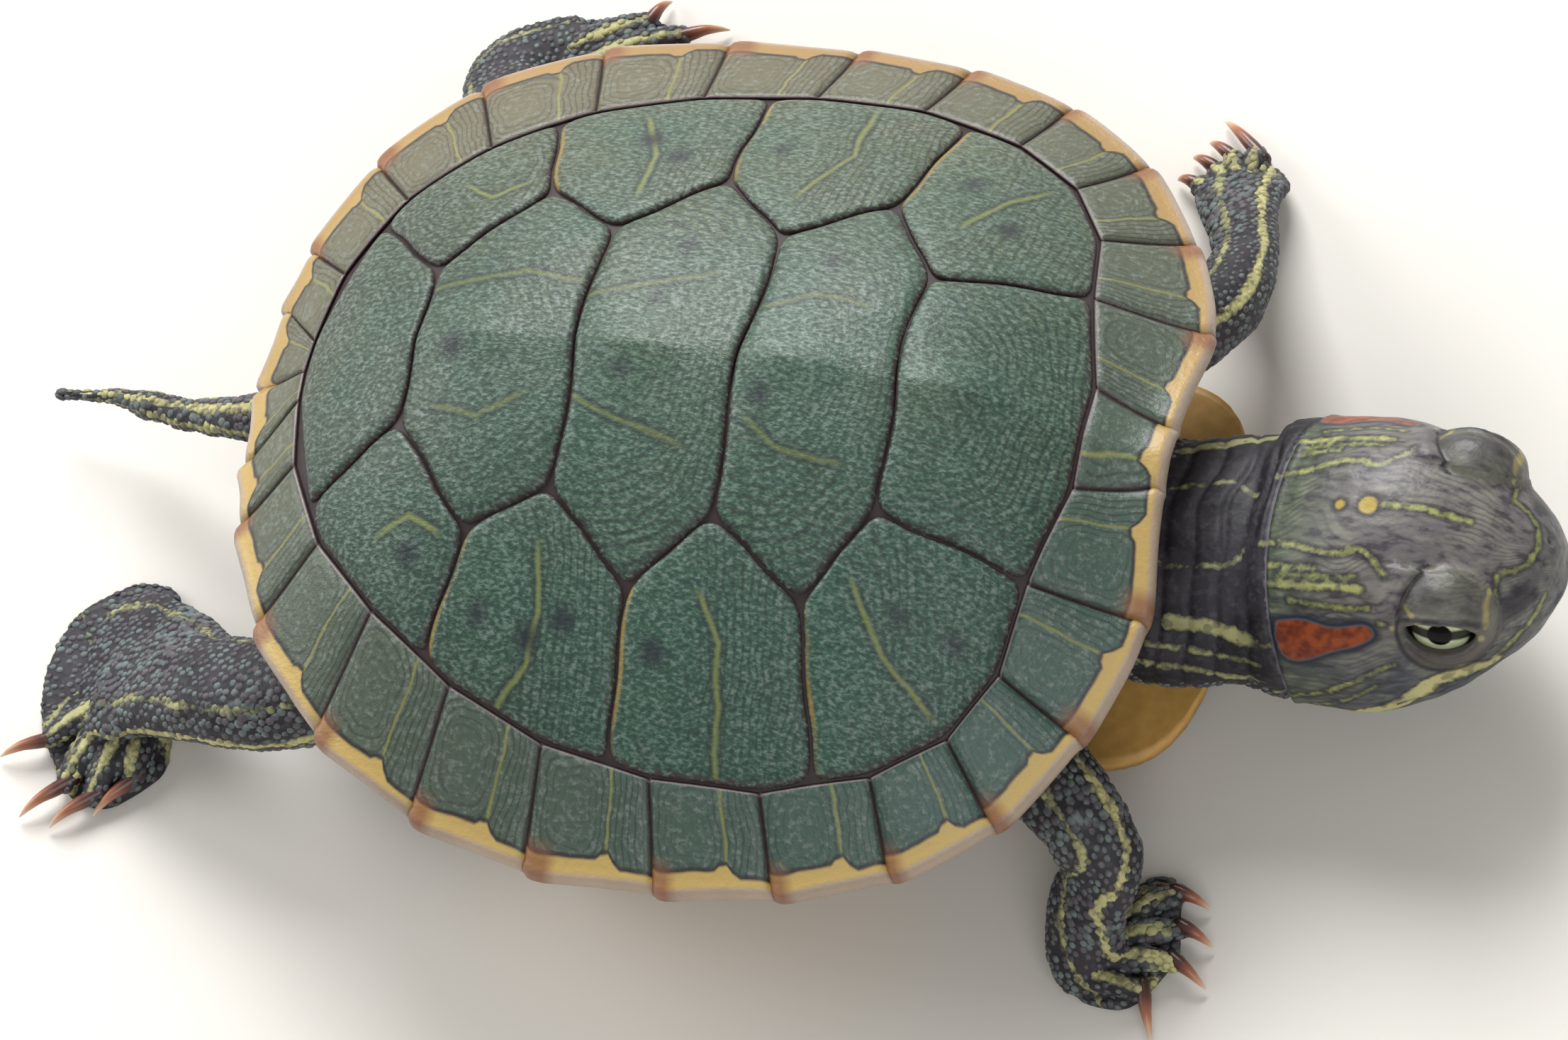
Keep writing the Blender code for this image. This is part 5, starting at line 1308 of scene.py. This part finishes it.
join_finish(tree, shader, colour, grain, 0.35, 0.06)
SEAMS = (  # between one pair of plates and the next: where on the middle line, and where at the side
    (14.2, (17.7, 5.85)), (9.4, (10.6, 8.0)), (3.6, (1.6, 19.2)), (-4.0, (-8.9, 7.0)), (-9.8, (-12.9, 6.0)))
belly_plates = {  # the first and last corners lie on the middle line
    "throat": ((18.4, 0), (18.38, 2.7), (18.1, 4.7), SEAMS[0][1], (SEAMS[0][0], 0)),
    "shoulder": ((SEAMS[0][0], 0), SEAMS[0][1], (17.0, 7.0), (15.8, 7.75), (13.6, 8.1), SEAMS[1][1],
                 (SEAMS[1][0], 0)),
    "chest": ((SEAMS[1][0], 0), SEAMS[1][1], (8.7, 8.5), (7.3, 19.2), SEAMS[2][1], (SEAMS[2][0], 0)),
    "belly": ((SEAMS[2][0], 0), SEAMS[2][1], (-7.4, 19.2), SEAMS[3][1], (SEAMS[3][0], 0)),
    "thigh": ((SEAMS[3][0], 0), SEAMS[3][1], (-11.0, 6.8), SEAMS[4][1], (SEAMS[4][0], 0)),
    "tail": ((SEAMS[4][0], 0), SEAMS[4][1], (-14.2, 5.0), (-15.35, 2.6), (-15.2, 1.0), (-14.5, 0)),
}
for name, corners in belly_plates.items():
    for word, sign in (("left", 1), ("right", -1)):
        outline = [(x, sign * y) for x, y in corners]
        middle = np.mean(outline, 0)
        points, faces, marks = plate(outline, middle, (1.0, 1.0), on_belly)
        piece = add_piece(f"{name}_plate_{word}", points, turned_over(faces), marks)
        piece.data.materials.append(belly_horn)
        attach(piece, "root")
        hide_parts("plastron")

# Floor, light and camera -------------------------------------------------------------------------
# A plain pale table, dull enough to show no reflection, under a broad soft light from the animal's
# left, as in a studio. A weaker light fills in from the right and another from behind.
floor = add_piece("floor", [(-900, -900, 0), (900, -900, 0), (900, 900, 0), (-900, 900, 0)], [(0, 1, 2, 3)])
table, tree, shader, _ = bare_finish("pale_table", 0.7, 0.2)
shader.inputs["Base Color"].default_value = linear("#D9D6D0")
floor.data.materials.append(table)

# Each light's place and size in millimetres, and its power in watts.
for name, aim, size, power in (("key", (-90, 330, 330), 260, 2.9), ("fill", (260, -420, 420), 420, 1.5),
                               ("back", (-380, 60, 240), 240, 1.0)):
    light = bpy.data.lights.new(name, "AREA")
    light.size = size * MM
    light.energy = power
    lamp = bpy.data.objects.new(name, light)
    bpy.context.scene.collection.objects.link(lamp)
    lamp.location = Vector(aim) * MM
    lamp.rotation_euler = Vector(aim).to_track_quat("Z", "Y").to_euler()
world = bpy.data.worlds.new("studio")
bpy.context.scene.world = world
world.use_nodes = True
world.node_tree.nodes["Background"].inputs[0].default_value = linear("#F2F0EC")
world.node_tree.nodes["Background"].inputs[1].default_value = 0.42

# A long lens from above, ahead and to the right.
TARGET, DISTANCE = (4.14, -4.14, 12.42), 432.0
AZIMUTH, ELEVATION, ROLL_ANGLE = 36.29, 59.93, -26.53
lens = bpy.data.cameras.new("camera")
lens.sensor_width, lens.lens = 36.0, 269.5
lens.clip_start, lens.clip_end = 0.01, 20.0
camera = bpy.data.objects.new("camera", lens)
bpy.context.scene.collection.objects.link(camera)
turned = (Matrix.Rotation(math.radians(AZIMUTH), 4, "Z")
          @ Matrix.Rotation(math.radians(90 - ELEVATION), 4, "X")
          @ Matrix.Rotation(math.radians(ROLL_ANGLE), 4, "Z"))
target = Vector(TARGET) * MM + SHELL_MIDDLE
camera.matrix_world = Matrix.Translation(target + turned.col[2].to_3d() * DISTANCE * MM) @ turned
bpy.context.scene.camera = camera
bpy.context.scene.view_settings.view_transform = "Standard"
